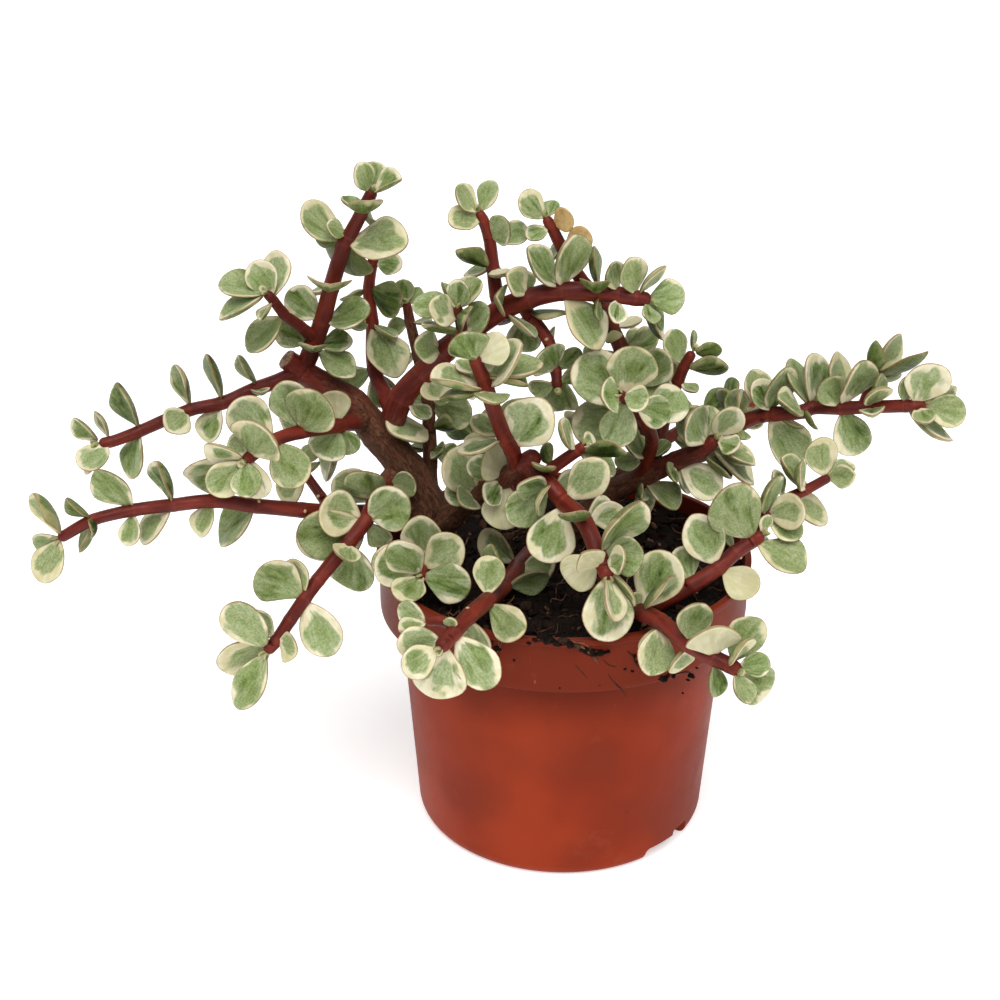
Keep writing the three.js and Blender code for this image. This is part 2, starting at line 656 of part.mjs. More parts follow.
// A round bar along the stem's points, grown all round by extra
function stemSolid({ points, thick }, extra = 0) {
  const curve = new THREE.CatmullRomCurve3(points, false, "centripetal");
  const stations = points.slice(1).flatMap((to, i) => {
    const steps = Math.max(1, Math.round(to.distanceTo(points[i]) / STEM.step));
    return Array.from({ length: steps }, (_, k) => (i + k / steps) / (points.length - 1));
  });
  stations.push(1);
  const profile = stations.map((at, i) =>
    new THREE.Vector2(THREE.MathUtils.lerp(thick[0], thick[1], at) / 2 + extra, i));
  profile.unshift(new THREE.Vector2(0, 0));
  profile.push(new THREE.Vector2(0, stations.length - 1));
  const frames = framesAlong(curve, stations);
  frames[0].middle.addScaledVector(curve.getTangent(0), -extra);
  frames.at(-1).middle.addScaledVector(curve.getTangent(1), extra);
  const sides = Math.max(STEM.fewestSides, Math.round(thick[0] * STEM.sidesPerWidth));
  const bar = new THREE.LatheGeometry(profile, sides);
  const place = bar.getAttribute("position");
  for (let v = 0; v < place.count; v++) {
    const { middle, normal, binormal } = frames[Math.round(place.getY(v))];
    const point = middle.clone()
      .addScaledVector(normal, place.getX(v))
      .addScaledVector(binormal, -place.getZ(v));
    place.setXYZ(v, point.x, point.y, point.z);
  }
  return solidOf(bar);
}

// Cross-section frames that follow the curve without twisting
function framesAlong(curve, stations) {
  let normal = STEM.firstNormal;
  return stations.map((at) => {
    const tangent = curve.getTangent(at);
    normal = normal.clone().addScaledVector(tangent, -normal.dot(tangent)).normalize();
    return { middle: curve.getPoint(at), normal, binormal: tangent.clone().cross(normal) };
  });
}

// The leaf as a thin lens of obovate outline, which starts inside its stem
function leafSolid({ base, along, up, length, width }) {
  const half = LEAF.thickness / 2;
  const lens = new THREE.LatheGeometry(
    [new THREE.Vector2(0, -half), new THREE.Vector2(1, 0), new THREE.Vector2(0, half)], LEAF.sides);
  const side = up.clone().cross(along);
  const place = lens.getAttribute("position");
  for (let v = 0; v < place.count; v++) {
    const share = ((place.getZ(v) + 1) / 2) ** LEAF.wedge;
    const across = (place.getX(v) * width) / 2;
    const point = base.clone()
      .addScaledVector(along, THREE.MathUtils.lerp(-LEAF.root, length, share))
      .addScaledVector(side, across)
      .addScaledVector(up, place.getY(v));
    place.setXYZ(v, point.x, point.y, point.z);
  }
  return solidOf(lens);
}

// The pot: a thin turned shell with a stepped-out collar and lip

function potSolid() {
  const { height, lipRadius, lipHeight, collarHeight, collarRadius, waistRadius } = POT;
  const { footRadius, footHeight, baseRadius, wall, floor, raisedFloor, raisedRadius, step, edge } = POT;
  const collarFoot = height - collarHeight;
  const corner = [0, 0.5, 1].map((share) => {
    const angle = (share * Math.PI) / 2;
    return [
      THREE.MathUtils.lerp(baseRadius, footRadius, Math.sin(angle)),
      footHeight * (1 - Math.cos(angle)),
    ];
  });
  const shell = turned([
    [0, 0],
    ...corner,
    [waistRadius, collarFoot - step],
    [collarRadius - edge, collarFoot],
    [collarRadius, collarFoot + edge],
    [collarRadius, height - lipHeight],
    [lipRadius, height - lipHeight + edge],
    [lipRadius, height - edge],
    [lipRadius - edge, height],
    [collarRadius - wall, height],
    [collarRadius - wall, collarFoot + step],
    [waistRadius - wall, collarFoot],
    [footRadius - wall, raisedFloor],
    [raisedRadius + wall, raisedFloor],
    [raisedRadius - wall, floor],
    [0, floor],
  ], POT.sides);
  const { slotSpread, slotHeight, slotInner, holeSpread, holeHeight, holeInner } = DRAIN;
  const cuts = DRAIN.slotAzimuths.flatMap((azimuth) => {
    const end = azimuth + slotSpread / 2;
    return [
      sectorSolid(azimuth - slotSpread / 2, end, slotInner, slotHeight),
      sectorSolid(end - holeSpread, end, holeInner, holeHeight),
    ];
  });
  for (let i = 0; i < DRAIN.floorHoles; i++) {
    cuts.push(holeSolid(DRAIN.floorRing, (i * 360) / DRAIN.floorHoles, DRAIN.floorRadius));
  }
  return solidOf(shell).subtract(wasm.Manifold.union(cuts));
}

// A sector cut up into the base's edge, between two azimuths
function sectorSolid(from, to, inner, height) {
  const shape = new THREE.Shape();
  const start = THREE.MathUtils.degToRad(from - 90);
  const end = THREE.MathUtils.degToRad(to - 90);
  shape.absarc(0, 0, POT.footRadius + 2, start, end, false);
  shape.absarc(0, 0, inner, end, start, true);
  const sector = new THREE.ExtrudeGeometry(shape, {
    depth: height + 1,
    bevelEnabled: false,
    curveSegments: 3,
  });
  return solidOf(sector.translate(0, 0, -1));
}

function holeSolid(ring, azimuth, radius) {
  const angle = THREE.MathUtils.degToRad(azimuth);
  const hole = new THREE.CylinderGeometry(radius, radius, 4 * POT.raisedFloor, 12);
  hole.rotateX(Math.PI / 2).translate(ring * Math.sin(angle), -ring * Math.cos(angle), 0);
  return solidOf(hole);
}

// The soil fills the pot with a lumpy top, and each stem that stands in it has its socket

function lumpAt(x, y) {
  return SOIL.waves.reduce((sum, [a, b, phase]) => sum + Math.sin(a * x + b * y + phase), 0);
}

function soilSolid(shoots) {
  const { wall, floor, raisedFloor, raisedRadius } = POT;
  const inner = wall + GAP;
  const collarFoot = POT.height - POT.collarHeight;
  const topRadius = POT.collarRadius - inner;
  const top = Array.from({ length: SOIL.rings }, (_, i) => [topRadius * (1 - i / SOIL.rings), SOIL.edge]);
  const body = turned([
    [0, floor + GAP],
    [raisedRadius - inner, floor + GAP],
    [raisedRadius + wall - GAP, raisedFloor + GAP],
    [POT.footRadius - inner, raisedFloor + GAP],
    [POT.waistRadius - inner, collarFoot + GAP],
    [topRadius, collarFoot + POT.step + GAP],
    ...top,
    [0, SOIL.edge],
  ], POT.sides);
  const place = body.getAttribute("position");
  for (let v = 0; v < place.count; v++) {
    if (place.getZ(v) < SOIL.edge - GAP) continue;
    const x = place.getX(v);
    const y = place.getY(v);
    const inside = 1 - Math.hypot(x, y) / topRadius;
    const rise = Math.max(0, inside) * (SOIL.crown + SOIL.lumps * lumpAt(x, y));
    place.setZ(v, SOIL.edge + rise);
  }
  return solidOf(body).subtract(wasm.Manifold.union(shoots.map((shoot) => stemSolid(shoot, GAP))));
}

// The name of the plant that a shoot grows on: shoots with no parent stand in the soil
function plantOf({ plant, parent }) {
  return plant ?? plantOf(shoots.find(({ name }) => name === parent));
}

// All the shoots of one plant in one solid
function plantSolid(members) {
  const bars = members.map((shoot) => stemSolid(shoot));
  const blades = members.flatMap(({ leaves }) => leaves.map(leafSolid));
  return wasm.Manifold.union([...bars, ...blades]).simplify(GAP / 3);
}

function meshOf(name, solid, material) {
  const mesh = new THREE.Mesh(geometryOf(solid), material);
  mesh.name = name;
  return mesh;
}

// Assembly

const PLASTIC = new THREE.MeshStandardMaterial({ color: 0xa8492f, roughness: 0.45, metalness: 0 });
const PEAT = new THREE.MeshStandardMaterial({ color: 0x1d140e, roughness: 1, metalness: 0 });
const FOLIAGE = new THREE.MeshStandardMaterial({ color: 0x9fb57f, roughness: 0.5, metalness: 0 });

const shoots = [...SHOOTS.map(growSeen), ...BACK_SHOOTS.map(growBack)];
settle(shoots);

const pottedPlant = new THREE.Group();
pottedPlant.add(meshOf("pot", potSolid(), PLASTIC));
pottedPlant.add(meshOf("soil", soilSolid(shoots), PEAT));
for (const [name, members] of Map.groupBy(shoots, plantOf)) {
  pottedPlant.add(meshOf(name, plantSolid(members), FOLIAGE));
}

export default pottedPlant;
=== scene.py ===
"""Potted variegated elephant bush: the looks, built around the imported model.

Lengths in the constants are millimetres, as are all points until a mesh is made. +Z is up, -Y is the front.
"""
import json
import math

import bmesh
import bpy
import numpy as np
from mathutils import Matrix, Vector, kdtree, noise

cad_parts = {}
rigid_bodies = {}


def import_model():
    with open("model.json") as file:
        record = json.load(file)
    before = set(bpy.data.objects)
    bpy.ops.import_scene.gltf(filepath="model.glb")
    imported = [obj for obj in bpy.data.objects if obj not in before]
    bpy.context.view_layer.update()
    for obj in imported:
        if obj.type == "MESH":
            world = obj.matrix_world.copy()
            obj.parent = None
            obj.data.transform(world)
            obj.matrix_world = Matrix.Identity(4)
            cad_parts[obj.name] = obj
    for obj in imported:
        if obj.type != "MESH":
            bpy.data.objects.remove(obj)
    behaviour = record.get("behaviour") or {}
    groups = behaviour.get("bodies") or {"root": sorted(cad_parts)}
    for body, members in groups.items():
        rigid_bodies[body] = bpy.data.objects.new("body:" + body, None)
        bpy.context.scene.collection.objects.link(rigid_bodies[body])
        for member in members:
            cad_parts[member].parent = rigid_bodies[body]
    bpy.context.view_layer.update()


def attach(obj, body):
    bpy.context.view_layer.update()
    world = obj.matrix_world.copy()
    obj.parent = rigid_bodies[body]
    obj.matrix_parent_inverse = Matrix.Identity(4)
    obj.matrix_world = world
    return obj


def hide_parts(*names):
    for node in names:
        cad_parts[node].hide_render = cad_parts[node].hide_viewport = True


MM = 0.001  # metres in a millimetre
SEED = 7

# The camera that took the photograph, which turns a place in the picture into a place in space

PHOTO = {
    "middle": 500,  # pixels
    "focal": 1737,  # pixels
    "side": 1000,  # pixels
    "elevation": 24.9,  # degrees above the horizon
    "distance": 550,
    "target": (-20.3, 0, 110),
}
SENSOR = 36

POT = {
    "height": 93,
    "lip_radius": 60,
    "lip_height": 2.6,
    "lip_edge": 0.5,  # from the lip's foot to where it is widest
    "collar_height": 18,
    "collar_radius": 59.1,
    "waist_radius": 52.8,  # body just under the collar
    "foot_radius": 47.8,  # body just above the rounded bottom edge
    "foot_height": 4.5,
    "base_radius": 45,
    "wall": 1.2,
    "floor": 1.6,
    "raised_floor": 5.8,
    "raised_radius": 34,
    "step": 1.4,
    "step_lean": (0.25, 0.35),  # how far the step's outer corner is drawn in and down
    "collar_rise": 1.2,  # where the collar becomes upright, above its foot
    "fillet": 0.8,
    "small_fillet": 0.5,
    "longest_step": 6,  # between two rings of points
    "sides": 180,
    "wobble": 0.006,  # how far the rim is out of round, as a share of its radius
    "wobble_scale": 0.02,
}

DRAIN = {
    "slots": (46, 226),  # degrees round from the front, towards the right
    "spread": 24,
    "height": 4.2,
    "inner": 37,
    "corner": 1.6,
    "hole_spread": 9,
    "hole_height": 6,
    "hole_inner": 43,
    "hole_corner": 0.8,
    "foot_flare": 1.2,  # how much wider a slot is at its open lower side
    "reach": 6,  # how far the cutters go out past the wall
    "below": 2,  # and below the base
    "floor_holes": 4,
    "floor_ring": 20,
    "floor_radius": 3.5,
    "floor_reach": 4,
    "floor_sides": 40,
}

SOIL = {
    "edge": 86.5,
    "crown": 1.6,
    "lumps": 0.8,
    "waves": ((0.31, 0.12, 1.3), (-0.2, 0.27, 0.6), (0.41, 0.53, 0)),
    "grit": ((0.12, 0, 1.6), (0.5, 4, 1.3), (1.3, 8, 0.6)),  # scale, layer and size of each roughness
    "top_gap": 0.1,  # to the pot at the collar
    "floor_gap": 0.3,
    "side_gap": 0.4,
    "corner_gap": 0.5,
    "shoulder": 1,  # from the top of the side to the edge of the bed
    "rings": 46,
    "sides": 150,
}

LEAF = {
    "width_ratio": 0.78,
    "back_length": 15,
    "last_length": 9,
    "back_fold": 0.3,
    "forward": 0.7,
    "first_turn": 0.6,
    "stagger": 0.4,
    "bare_nodes": 2,
}


# The shoots that the photograph shows. Every node is [x, y, depth], then a leaf for each
# [tip x, tip y, how far the tip lies behind the node, turn, width ratio where it isn't the usual one].
# x and y are pixels, depth is in millimetres and turn in degrees.
SHOOTS = [
    {"name": "trunk", "plant": "main_plant", "thick": [15, 6.6], "nodes": [
        [[441, 562, 13]], [[438, 545, 12]], [[428, 510, 12]], [[406, 468, 14]], [[378, 434, 16]],
        [[352, 403, 18]], [[325, 386, 18]], [[304, 372, 18]], [[289, 361, 17]],
    ]},
    {"name": "left_upper", "parent": "trunk", "thick": [4.9, 3.4], "nodes": [
        [[300, 374, 18]],
        [[258, 388, 13], [239, 355, -2, 72], [250, 399, -8, 30]],
        [[222, 403, 9], [206, 354, -1, 70], [206, 442, -4, 26]],
        [[190, 410, 6], [176, 364, 2, 60], [160, 434, -9, 0, 0.8]],
        [[140, 431, 2], [117, 382, 0, 55], [130, 479, -3, 40]],
        [[110, 442, -2], [94, 411, 2, 65], [74, 466, -6, 20]],
        [[101, 443, -3], [73, 418, 1, 52], [81, 476, -4, 55]],
    ]},
    {"name": "left_lower", "parent": "trunk", "thick": [5.6, 3.4], "nodes": [
        [[414, 505, 11]], [[372, 512, 3]], [[330, 512, -6]], [[302, 510, -12]],
        [[257, 506, -16], [218, 539, 5, 42]],
        [[214, 501, -20], [199, 537, -3, 28]],
        [[173, 505, -24], [156, 461, -2, 60], [141, 543, -3, 45]],
        [[134, 510, -28], [97, 469, -3, 34], [107, 536, -5, 24]],
        [[93, 520, -30], [66, 498, -1, 62], [73, 548, 2, 60], [84, 536, -8, 100]],
        [[62, 537, -32], [33, 493, -2, 65], [38, 580, -3, 20], [36, 553, 4, 15]],
    ]},
    {"name": "left_middle", "parent": "trunk", "thick": [5.2, 3.4], "nodes": [
        [[366, 419, 16]],
        [[340, 425, 4], [331, 391, -5, 0], [318, 457, -7, 0, 1.08], [351, 455, -3, 10, 0.9],
         [326, 481, 5, 60]],
        [[300, 432, -8], [284, 381, -1, 0], [318, 391, -8, 0, 0.9], [279, 423, 6, 55]],
        [[275, 440, -14], [231, 403, -3, 0], [300, 487, -6, 0, 0.85]],
        [[250, 457, -20], [263, 426, -10, 0, 1.0], [187, 479, 5, 46], [261, 498, -1, 12],
         [228, 440, 6, 20]],
        [[246, 460, -22], [204, 447, -4, 55], [209, 492, -7, 15], [245, 501, -10, 10]],
    ]},
    {"name": "left_inner", "parent": "left_lower", "thick": [3.4, 2.8], "nodes": [
        [[330, 510, -5]], [[321, 496, 0]],
        [[306, 475, 3], [279, 498, 3, 15], [320, 461, 5, 66]],
        [[300, 466, 3], [281, 447, 4, 20], [318, 447, 6, 20]],
    ]},
    {"name": "crown_left", "parent": "trunk", "thick": [6.2, 3.8], "nodes": [
        [[303, 372, 18]],
        [[313, 346, 18], [361, 363, -4, 45], [281, 322, -3, 0, 0.85], [352, 336, 1, 20],
         [315, 344, -11, 80]],
        [[322, 322, 18], [288, 294, -4, 14], [371, 310, -5, 35]],
        [[331, 288, 17], [331, 285, -14, 62, 0.95], [313, 289, 11, 55]],
        [[345, 243, 16], [316, 197, -3, 36], [411, 238, -5, 28], [314, 252, 2, 158]],
        [[349, 236, 16], [347, 272, 11, 160, 1.0], [348, 210, -2, 58]],
        [[362, 212, 15], [370, 200, -11, 104, 0.85], [346, 203, 8, 62], [374, 226, 9, 80]],
        [[371, 194, 14], [357, 161, -2, 35], [378, 160, 5, 10], [402, 176, -3, 45]],
    ]},
    {"name": "crown_left_side", "parent": "crown_left", "thick": [3.8, 3.0], "nodes": [
        [[314, 338, 18]], [[300, 326, 13]],
        [[285, 315, 9], [246, 349, 0, 36]],
        [[273, 300, 5], [250, 270, -5, 5], [271, 248, 4, 28], [256, 311, -7, 72]],
        [[267, 294, 3], [218, 277, 1, 32], [214, 309, -3, 60]],
    ]},
    {"name": "crown_back", "parent": "arch", "thick": [5.0, 3.2], "nodes": [
        [[392, 408, 16]],
        [[374, 368, 28], [342, 391, -2, 32], [388, 408, -4, 15]],
        [[372, 322, 32], [352, 340, -6, 12], [398, 338, -6, 70], [397, 380, -5, 26]],
        [[369, 288, 34], [403, 311, -6, 148, 0.95], [340, 300, 3, 78]],
        [[373, 262, 35], [402, 266, -4, 12], [352, 272, -3, 42]],
        [[377, 252, 36], [392, 236, 3, 30], [364, 234, 5, 30]],
    ]},
    {"name": "arch", "parent": "trunk", "thick": [8.4, 4.4], "nodes": [
        [[386, 440, 15]],
        [[402, 397, 14], [424, 425, -5, 30]],
        [[425, 372, 10], [443, 396, -8, 0, 0.95]],
        [[446, 350, 6], [414, 347, -9, 0, 0.8]],
        [[470, 331, 2], [496, 366, 6, 40]],
        [[503, 309, 0], [499, 283, -8, 75], [538, 335, -8, 75]],
        [[530, 298, -2], [503, 264, 3, 30], [521, 261, 8, 20], [543, 275, 6, 20]],
        [[562, 291, -3], [549, 237, -2, 54], [572, 233, -5, 48], [600, 350, -6, 30, 0.7],
         [584, 262, 4, 40]],
        [[600, 293, -4], [592, 246, 2, 74], [578, 279, -8, 110], [577, 311, -4, 30]],
        [[619, 295, -5], [610, 266, -4, 30], [631, 321, -7, 28]],
        [[636, 298, -6], [633, 258, -3, 25], [661, 261, 1, 72]],
        [[645, 299, -6], [685, 306, -2, 5, 0.95], [660, 322, -6, 40], [669, 339, 1, 65]],
    ]},
    {"name": "crown_middle", "parent": "arch", "thick": [4.8, 3.0], "nodes": [
        [[505, 322, 0]], [[497, 296, 5]],
        [[493, 268, 6], [456, 250, -4, 115], [464, 274, 4, 60], [497, 289, -8, 0], [515, 274, 7, 60]],
        [[489, 237, 8], [508, 222, -9, 0], [529, 232, -1, 26]],
        [[483, 220, 8], [450, 208, 4, 52], [446, 222, -5, 25]],
        [[480, 214, 8], [455, 186, -2, 34], [490, 179, 2, 30]],
    ]},
    {"name": "crown_right", "parent": "right_main", "thick": [6.0, 3.2], "nodes": [
        [[628, 484, 14]], [[640, 440, 20]],
        [[636, 390, 17], [668, 350, 2, 15], [673, 386, 0, 20]],
        [[622, 350, 12], [644, 330, 4, 12], [601, 351, -3, 20], [660, 336, -3, 25]],
        [[612, 328, 10], [608, 313, -4, 0], [642, 323, -3, 65]],
        [[602, 303, 8]], [[580, 278, 6]],
        [[562, 248, 6], [592, 236, 2, 5, 0.85], [549, 264, 6, 62]],
        [[551, 226, 6], [526, 236, -4, 26], [574, 213, -2, 0, 0.95]],
        [[547, 220, 6], [521, 193, -2, 15], [559, 200, 4, 24]],
    ]},
    {"name": "knee", "parent": "arch", "thick": [4.0, 3.0], "nodes": [
        [[448, 349, 6]],
        [[461, 333, -1], [477, 301, -5, 35], [428, 313, -6, 100]],
        [[460, 318, -4], [430, 297, -5, 20], [451, 291, -5, 57]],
        [[458, 310, -5], [463, 275, 3, 7], [420, 281, 4, 22], [441, 279, 6, 56], [481, 280, 5, 22]],
    ]},
    {"name": "inner_left", "parent": "trunk", "thick": [5.2, 3.0], "nodes": [
        [[428, 506, 15], [455, 491, -4, 55]],
        [[430, 450, 20], [402, 456, -3, 40], [458, 470, 3, 40], [413, 470, -7, 55]],
        [[429, 428, 23], [385, 430, -15, 30], [455, 432, -4, 142]],
        [[428, 400, 26], [470, 424, 0, 20], [404, 388, 4, 20], [445, 381, -1, 30]],
        [[418, 355, 30], [396, 372, 0, 20], [440, 372, 2, 30]],
        [[410, 322, 32], [432, 326, -4, 60], [392, 342, 0, 30]],
        [[407, 306, 32], [399, 282, -2, 10], [418, 284, 4, 20], [388, 312, 2, 30]],
    ]},
    {"name": "front_trunk", "parent": "trunk", "thick": [6.6, 6.0], "nodes": [
        [[444, 522, 9]],
        [[478, 497, -4], [450, 452, -4, 25], [467, 498, -12, 40], [450, 508, 4, 40]],
        [[505, 478, -14], [477, 463, -8, 5, 0.95], [502, 530, -8, 0, 0.85], [467, 479, 4, 35],
         [482, 497, -9, 20]],
        [[524, 464, -20]], [[531, 459, -22]],
    ]},
    {"name": "front_up", "parent": "front_trunk", "thick": [5.4, 4.0], "nodes": [
        [[516, 470, -18]],
        [[512, 450, -22], [534, 393, -7, 3, 0.72]],
        [[505, 438, -24], [456, 446, -5, 65], [468, 424, 5, 40], [521, 393, 3, 52]],
        [[487, 390, -30], [430, 372, -4, 65], [530, 347, -3, 55], [493, 403, -12, 26, 0.9],
         [441, 396, 3, 80]],
        [[482, 376, -31], [456, 357, 5, 40], [541, 366, 8, 60], [463, 407, 6, 16], [528, 384, 4, 50]],
        [[476, 362, -32], [466, 330, -6, 0, 0.95], [506, 341, -4, 10, 0.85]],
    ]},
    {"name": "front_down", "parent": "front_trunk", "thick": [5.8, 4.6], "nodes": [
        [[527, 466, -21.5]],
        [[551, 487, -28], [508, 522, -4, 10], [532, 500, -12, 50], [519, 482, -7, 40], [580, 482, 6, 20]],
        [[564, 502, -32], [541, 562, -8, 0, 0.8], [612, 468, -4, 0, 0.66]],
        [[584, 521, -41], [584, 547, -9, 0, 1.05], [625, 509, 1, 15], [609, 497, 6, 25]],
        [[599, 556, -51], [648, 515, -6, 55], [641, 546, -4, 0, 0.95], [567, 583, 3, 0, 0.9]],
        [[604, 566, -53], [632, 579, -9, 5], [582, 554, -8, 25], [633, 609, -5, 45]],
        [[606, 573, -55], [610, 626, -7, 60], [614, 638, -3, 5, 0.8]],
    ]},
    {"name": "front_spur", "parent": "front_down", "thick": [4.2, 3.2], "nodes": [
        [[541, 479, -25]],
        [[553, 468, -24], [531, 480, -8, 60], [537, 444, 2, 150]],
        [[577, 451, -26], [551, 424, -3, 55], [628, 455, -3, 105], [619, 465, 5, 42]],
        [[582, 447, -27], [592, 436, 6, 20]],
    ]},
    {"name": "inner_middle", "parent": "arch", "thick": [4.4, 3.2], "nodes": [
        [[520, 300, -1]],
        [[527, 312, 4], [529, 355, -2, 5, 0.9], [568, 313, -5, 105]],
        [[548, 340, 0], [548, 338, 10, 80]],
        [[556, 372, -6], [541, 352, -8, 0, 1.0], [576, 345, 3, 20], [568, 411, 3, 24]],
        [[557, 384, -8], [530, 388, 4, 40], [571, 358, 5, 35]],
    ]},
    {"name": "rosette", "parent": "right_main", "thick": [4.8, 3.0], "nodes": [
        [[634, 481, 13]],
        [[647, 459, 8], [632, 429, -5, 60], [672, 445, 3, 32], [653, 431, 5, 35], [619, 470, 3, 35]],
        [[652, 440, 3]],
        [[641, 415, -6], [571, 426, 2, 0, 0.75], [690, 399, 6, 5]],
        [[633, 405, -10], [574, 362, 0, 0, 0.75], [672, 414, 0, 0, 0.9]],
        [[626, 399, -14], [637, 346, -4, 0, 0.85], [613, 448, -5, 0, 0.8]],
        [[621, 395, -17], [601, 396, -9, 0, 1.0], [649, 402, -5, 0, 0.95]],
    ]},
    {"name": "right_spur", "parent": "right_main", "thick": [4.8, 3.4], "nodes": [
        [[650, 474, 11]], [[659, 440, 17]],
        [[668, 405, 21], [668, 352, 0, 15], [694, 416, 4, 30]],
        [[678, 381, 22], [698, 389, -5, 35], [677, 349, 3, 24]],
        [[684, 367, 22], [729, 366, -3, 118], [679, 328, 1, 25]],
        [[692, 353, 22], [688, 330, 3, 70], [722, 350, -3, 132]],
    ]},
    {"name": "right_main", "plant": "right_plant", "thick": [9.0, 4.4], "nodes": [
        [[560, 546, 22]], [[572, 530, 20]], [[600, 498, 16]],
        [[640, 478, 12], [655, 525, -6, 40], [627, 492, -8, 60], [632, 512, 4, 30], [659, 491, 5, 35]],
        [[676, 461, 8], [716, 499, -5, 14], [685, 496, -2, 60], [660, 486, -6, 32]],
        [[700, 450, 6], [688, 407, -4, 10, 0.7], [735, 479, -1, 68], [712, 406, 7, 30]],
        [[708, 445, 5], [690, 412, -9, 25], [758, 482, 3, 36], [754, 442, 5, 20]],
        [[714, 440, 4], [728, 403, -3, 15], [753, 469, -4, 65], [742, 450, -6, 10]],
    ]},
    {"name": "right_upper", "parent": "right_main", "thick": [5.6, 3.8], "nodes": [
        [[664, 466, 10]], [[684, 460, 16]], [[706, 452, 18]],
        [[738, 425, 18], [722, 383, 6, 95], [735, 388, 2, 10], [760, 431, -7, 70], [738, 391, -8, 70]],
        [[768, 414, 16], [748, 371, 7, 20], [775, 363, -3, 32, 0.75], [804, 461, -2, 15]],
        [[775, 414, 15], [757, 383, -2, 18], [800, 431, 5, 82]],
        [[805, 411, 12], [811, 423, -10, 60], [789, 391, -9, 60]],
        [[811, 408, 12], [792, 358, 4, 50], [806, 353, 8, 25], [825, 373, 3, 85]],
        [[841, 408, 8], [825, 378, -4, 5], [831, 352, 5, 50], [851, 354, -3, 20, 0.75],
         [858, 455, -2, 0, 0.8]],
        [[872, 407, 5], [897, 411, -9, 60], [877, 378, -6, 15], [866, 372, 5, 60]],
        [[905, 406, 1], [908, 377, -2, 15], [953, 440, 0, 65]],
        [[914, 406, 0], [931, 357, -3, 0, 0.85], [945, 416, -6, 45]],
        [[921, 405, 0], [967, 411, -2, 10], [962, 398, 5, 40]],
    ]},
    {"name": "right_upper_side", "parent": "right_upper", "thick": [3.2, 2.6], "nodes": [
        [[863, 405, 6]], [[868, 390, 10]],
        [[871, 379, 11], [884, 341, 1, 112], [904, 377, 3, 80]],
        [[874, 375, 11], [895, 329, 5, 50], [929, 352, 0, 102]],
    ]},
    {"name": "right_lower", "parent": "right_pot", "thick": [4.2, 3.0], "nodes": [
        [[743, 548, -26]], [[752, 531, -21]],
        [[765, 517, -20], [788, 481, -5, 65], [799, 530, -9, 30], [808, 507, -7, 0, 0.8]],
        [[785, 500, -16], [775, 469, 5, 50], [828, 520, 3, 42]],
        [[806, 490, -14], [784, 455, 2, 50], [797, 466, -6, 50], [823, 474, 3, 35]],
        [[826, 479, -14], [818, 438, -2, 0, 0.72], [858, 474, -3, 5], [855, 462, 4, 50]],
    ]},
    {"name": "right_pot", "plant": "right_low_stem", "thick": [5.8, 4.0], "nodes": [
        [[642, 611, -28]], [[658, 603, -31]],
        [[692, 585, -30], [686, 545, 5, 10]],
        [[718, 568, -28], [695, 511, 3, 0, 0.7], [758, 592, -7, 0, 0.8]],
        [[736, 552, -26], [735, 524, 5, 40]],
        [[753, 541, -25], [738, 480, -5, 0, 0.72], [803, 572, -4, 35]],
        [[760, 536, -25], [768, 513, 3, 38], [782, 552, 3, 68]],
    ]},
    {"name": "right_rim", "plant": "right_rim_stem", "thick": [5.6, 4.4], "nodes": [
        [[606, 596, -20]], [[625, 601, -32]],
        [[641, 612, -51], [654, 578, -8, 60], [672, 554, 4, 0, 0.8], [632, 592, 4, 40]],
        [[661, 622, -63], [655, 677, -8, 15], [643, 652, 1, 40]],
        [[690, 645, -72], [699, 603, -5, 5, 0.62], [668, 665, 6, 60]],
        [[714, 658, -76], [716, 628, -8, 0, 1.0], [722, 697, -5, 45]],
        [[729, 665, -78], [764, 622, 2, 15], [748, 635, -5, 65]],
        [[734, 668, -79], [770, 660, 0, 15], [773, 692, 1, 0, 0.9], [749, 705, -6, 40]],
    ]},
    {"name": "left_rim", "plant": "left_rim_stem", "thick": [5.8, 4.4], "nodes": [
        [[531, 552, 12]],
        [[518, 567, -8], [549, 606, -10, 15], [482, 530, 5, 40]],
        [[503, 587, -27], [491, 544, 0, 60], [548, 590, 4, 40]],
        [[487, 601, -48], [489, 555, 6, 15], [525, 640, -12, 5, 0.64]],
        [[469, 616, -59], [484, 650, 2, 30]],
        [[454, 632, -66], [491, 689, -5, 5, 0.66], [441, 621, 4, 50]],
        [[446, 641, -69], [396, 641, -1, 15], [437, 699, 0, 5, 0.85]],
        [[442, 646, -71], [403, 673, -5, 10, 0.75]],
    ]},
    {"name": "left_rim_side", "parent": "left_rim", "thick": [3.2, 2.6], "nodes": [
        [[458, 627, -64]], [[440, 621, -62]],
        [[428, 622, -61], [393, 611, 2, 15], [396, 628, -4, 60]],
    ]},
    {"name": "pot_rosette", "parent": "trunk", "thick": [4.4, 3.2], "nodes": [
        [[438, 553, 8]], [[430, 558, -8]],
        [[425, 563, -18], [424, 518, -3, 5, 0.8], [452, 602, -3, 50], [411, 611, -1, 30]],
        [[422, 570, -25], [374, 562, -3, 5, 0.92], [464, 541, 5, 10, 0.85]],
        [[421, 575, -28], [391, 543, -8, 10, 0.65], [471, 588, -6, 5, 0.8], [427, 619, -6, 0, 0.85]],
    ]},
    {"name": "left_drooping", "parent": "trunk", "thick": [5.4, 3.8], "nodes": [
        [[397, 471, 14]],
        [[386, 486, 6], [416, 484, -6, 15]],
        [[374, 504, -3], [334, 478, -1, 15, 0.85], [360, 472, -9, 15]],
        [[366, 520, -9], [409, 499, -8, 5, 0.8], [310, 519, -3, 5, 0.88], [386, 545, 2, 20],
         [300, 518, 6, 10, 0.8], [293, 528, 10, 40]],
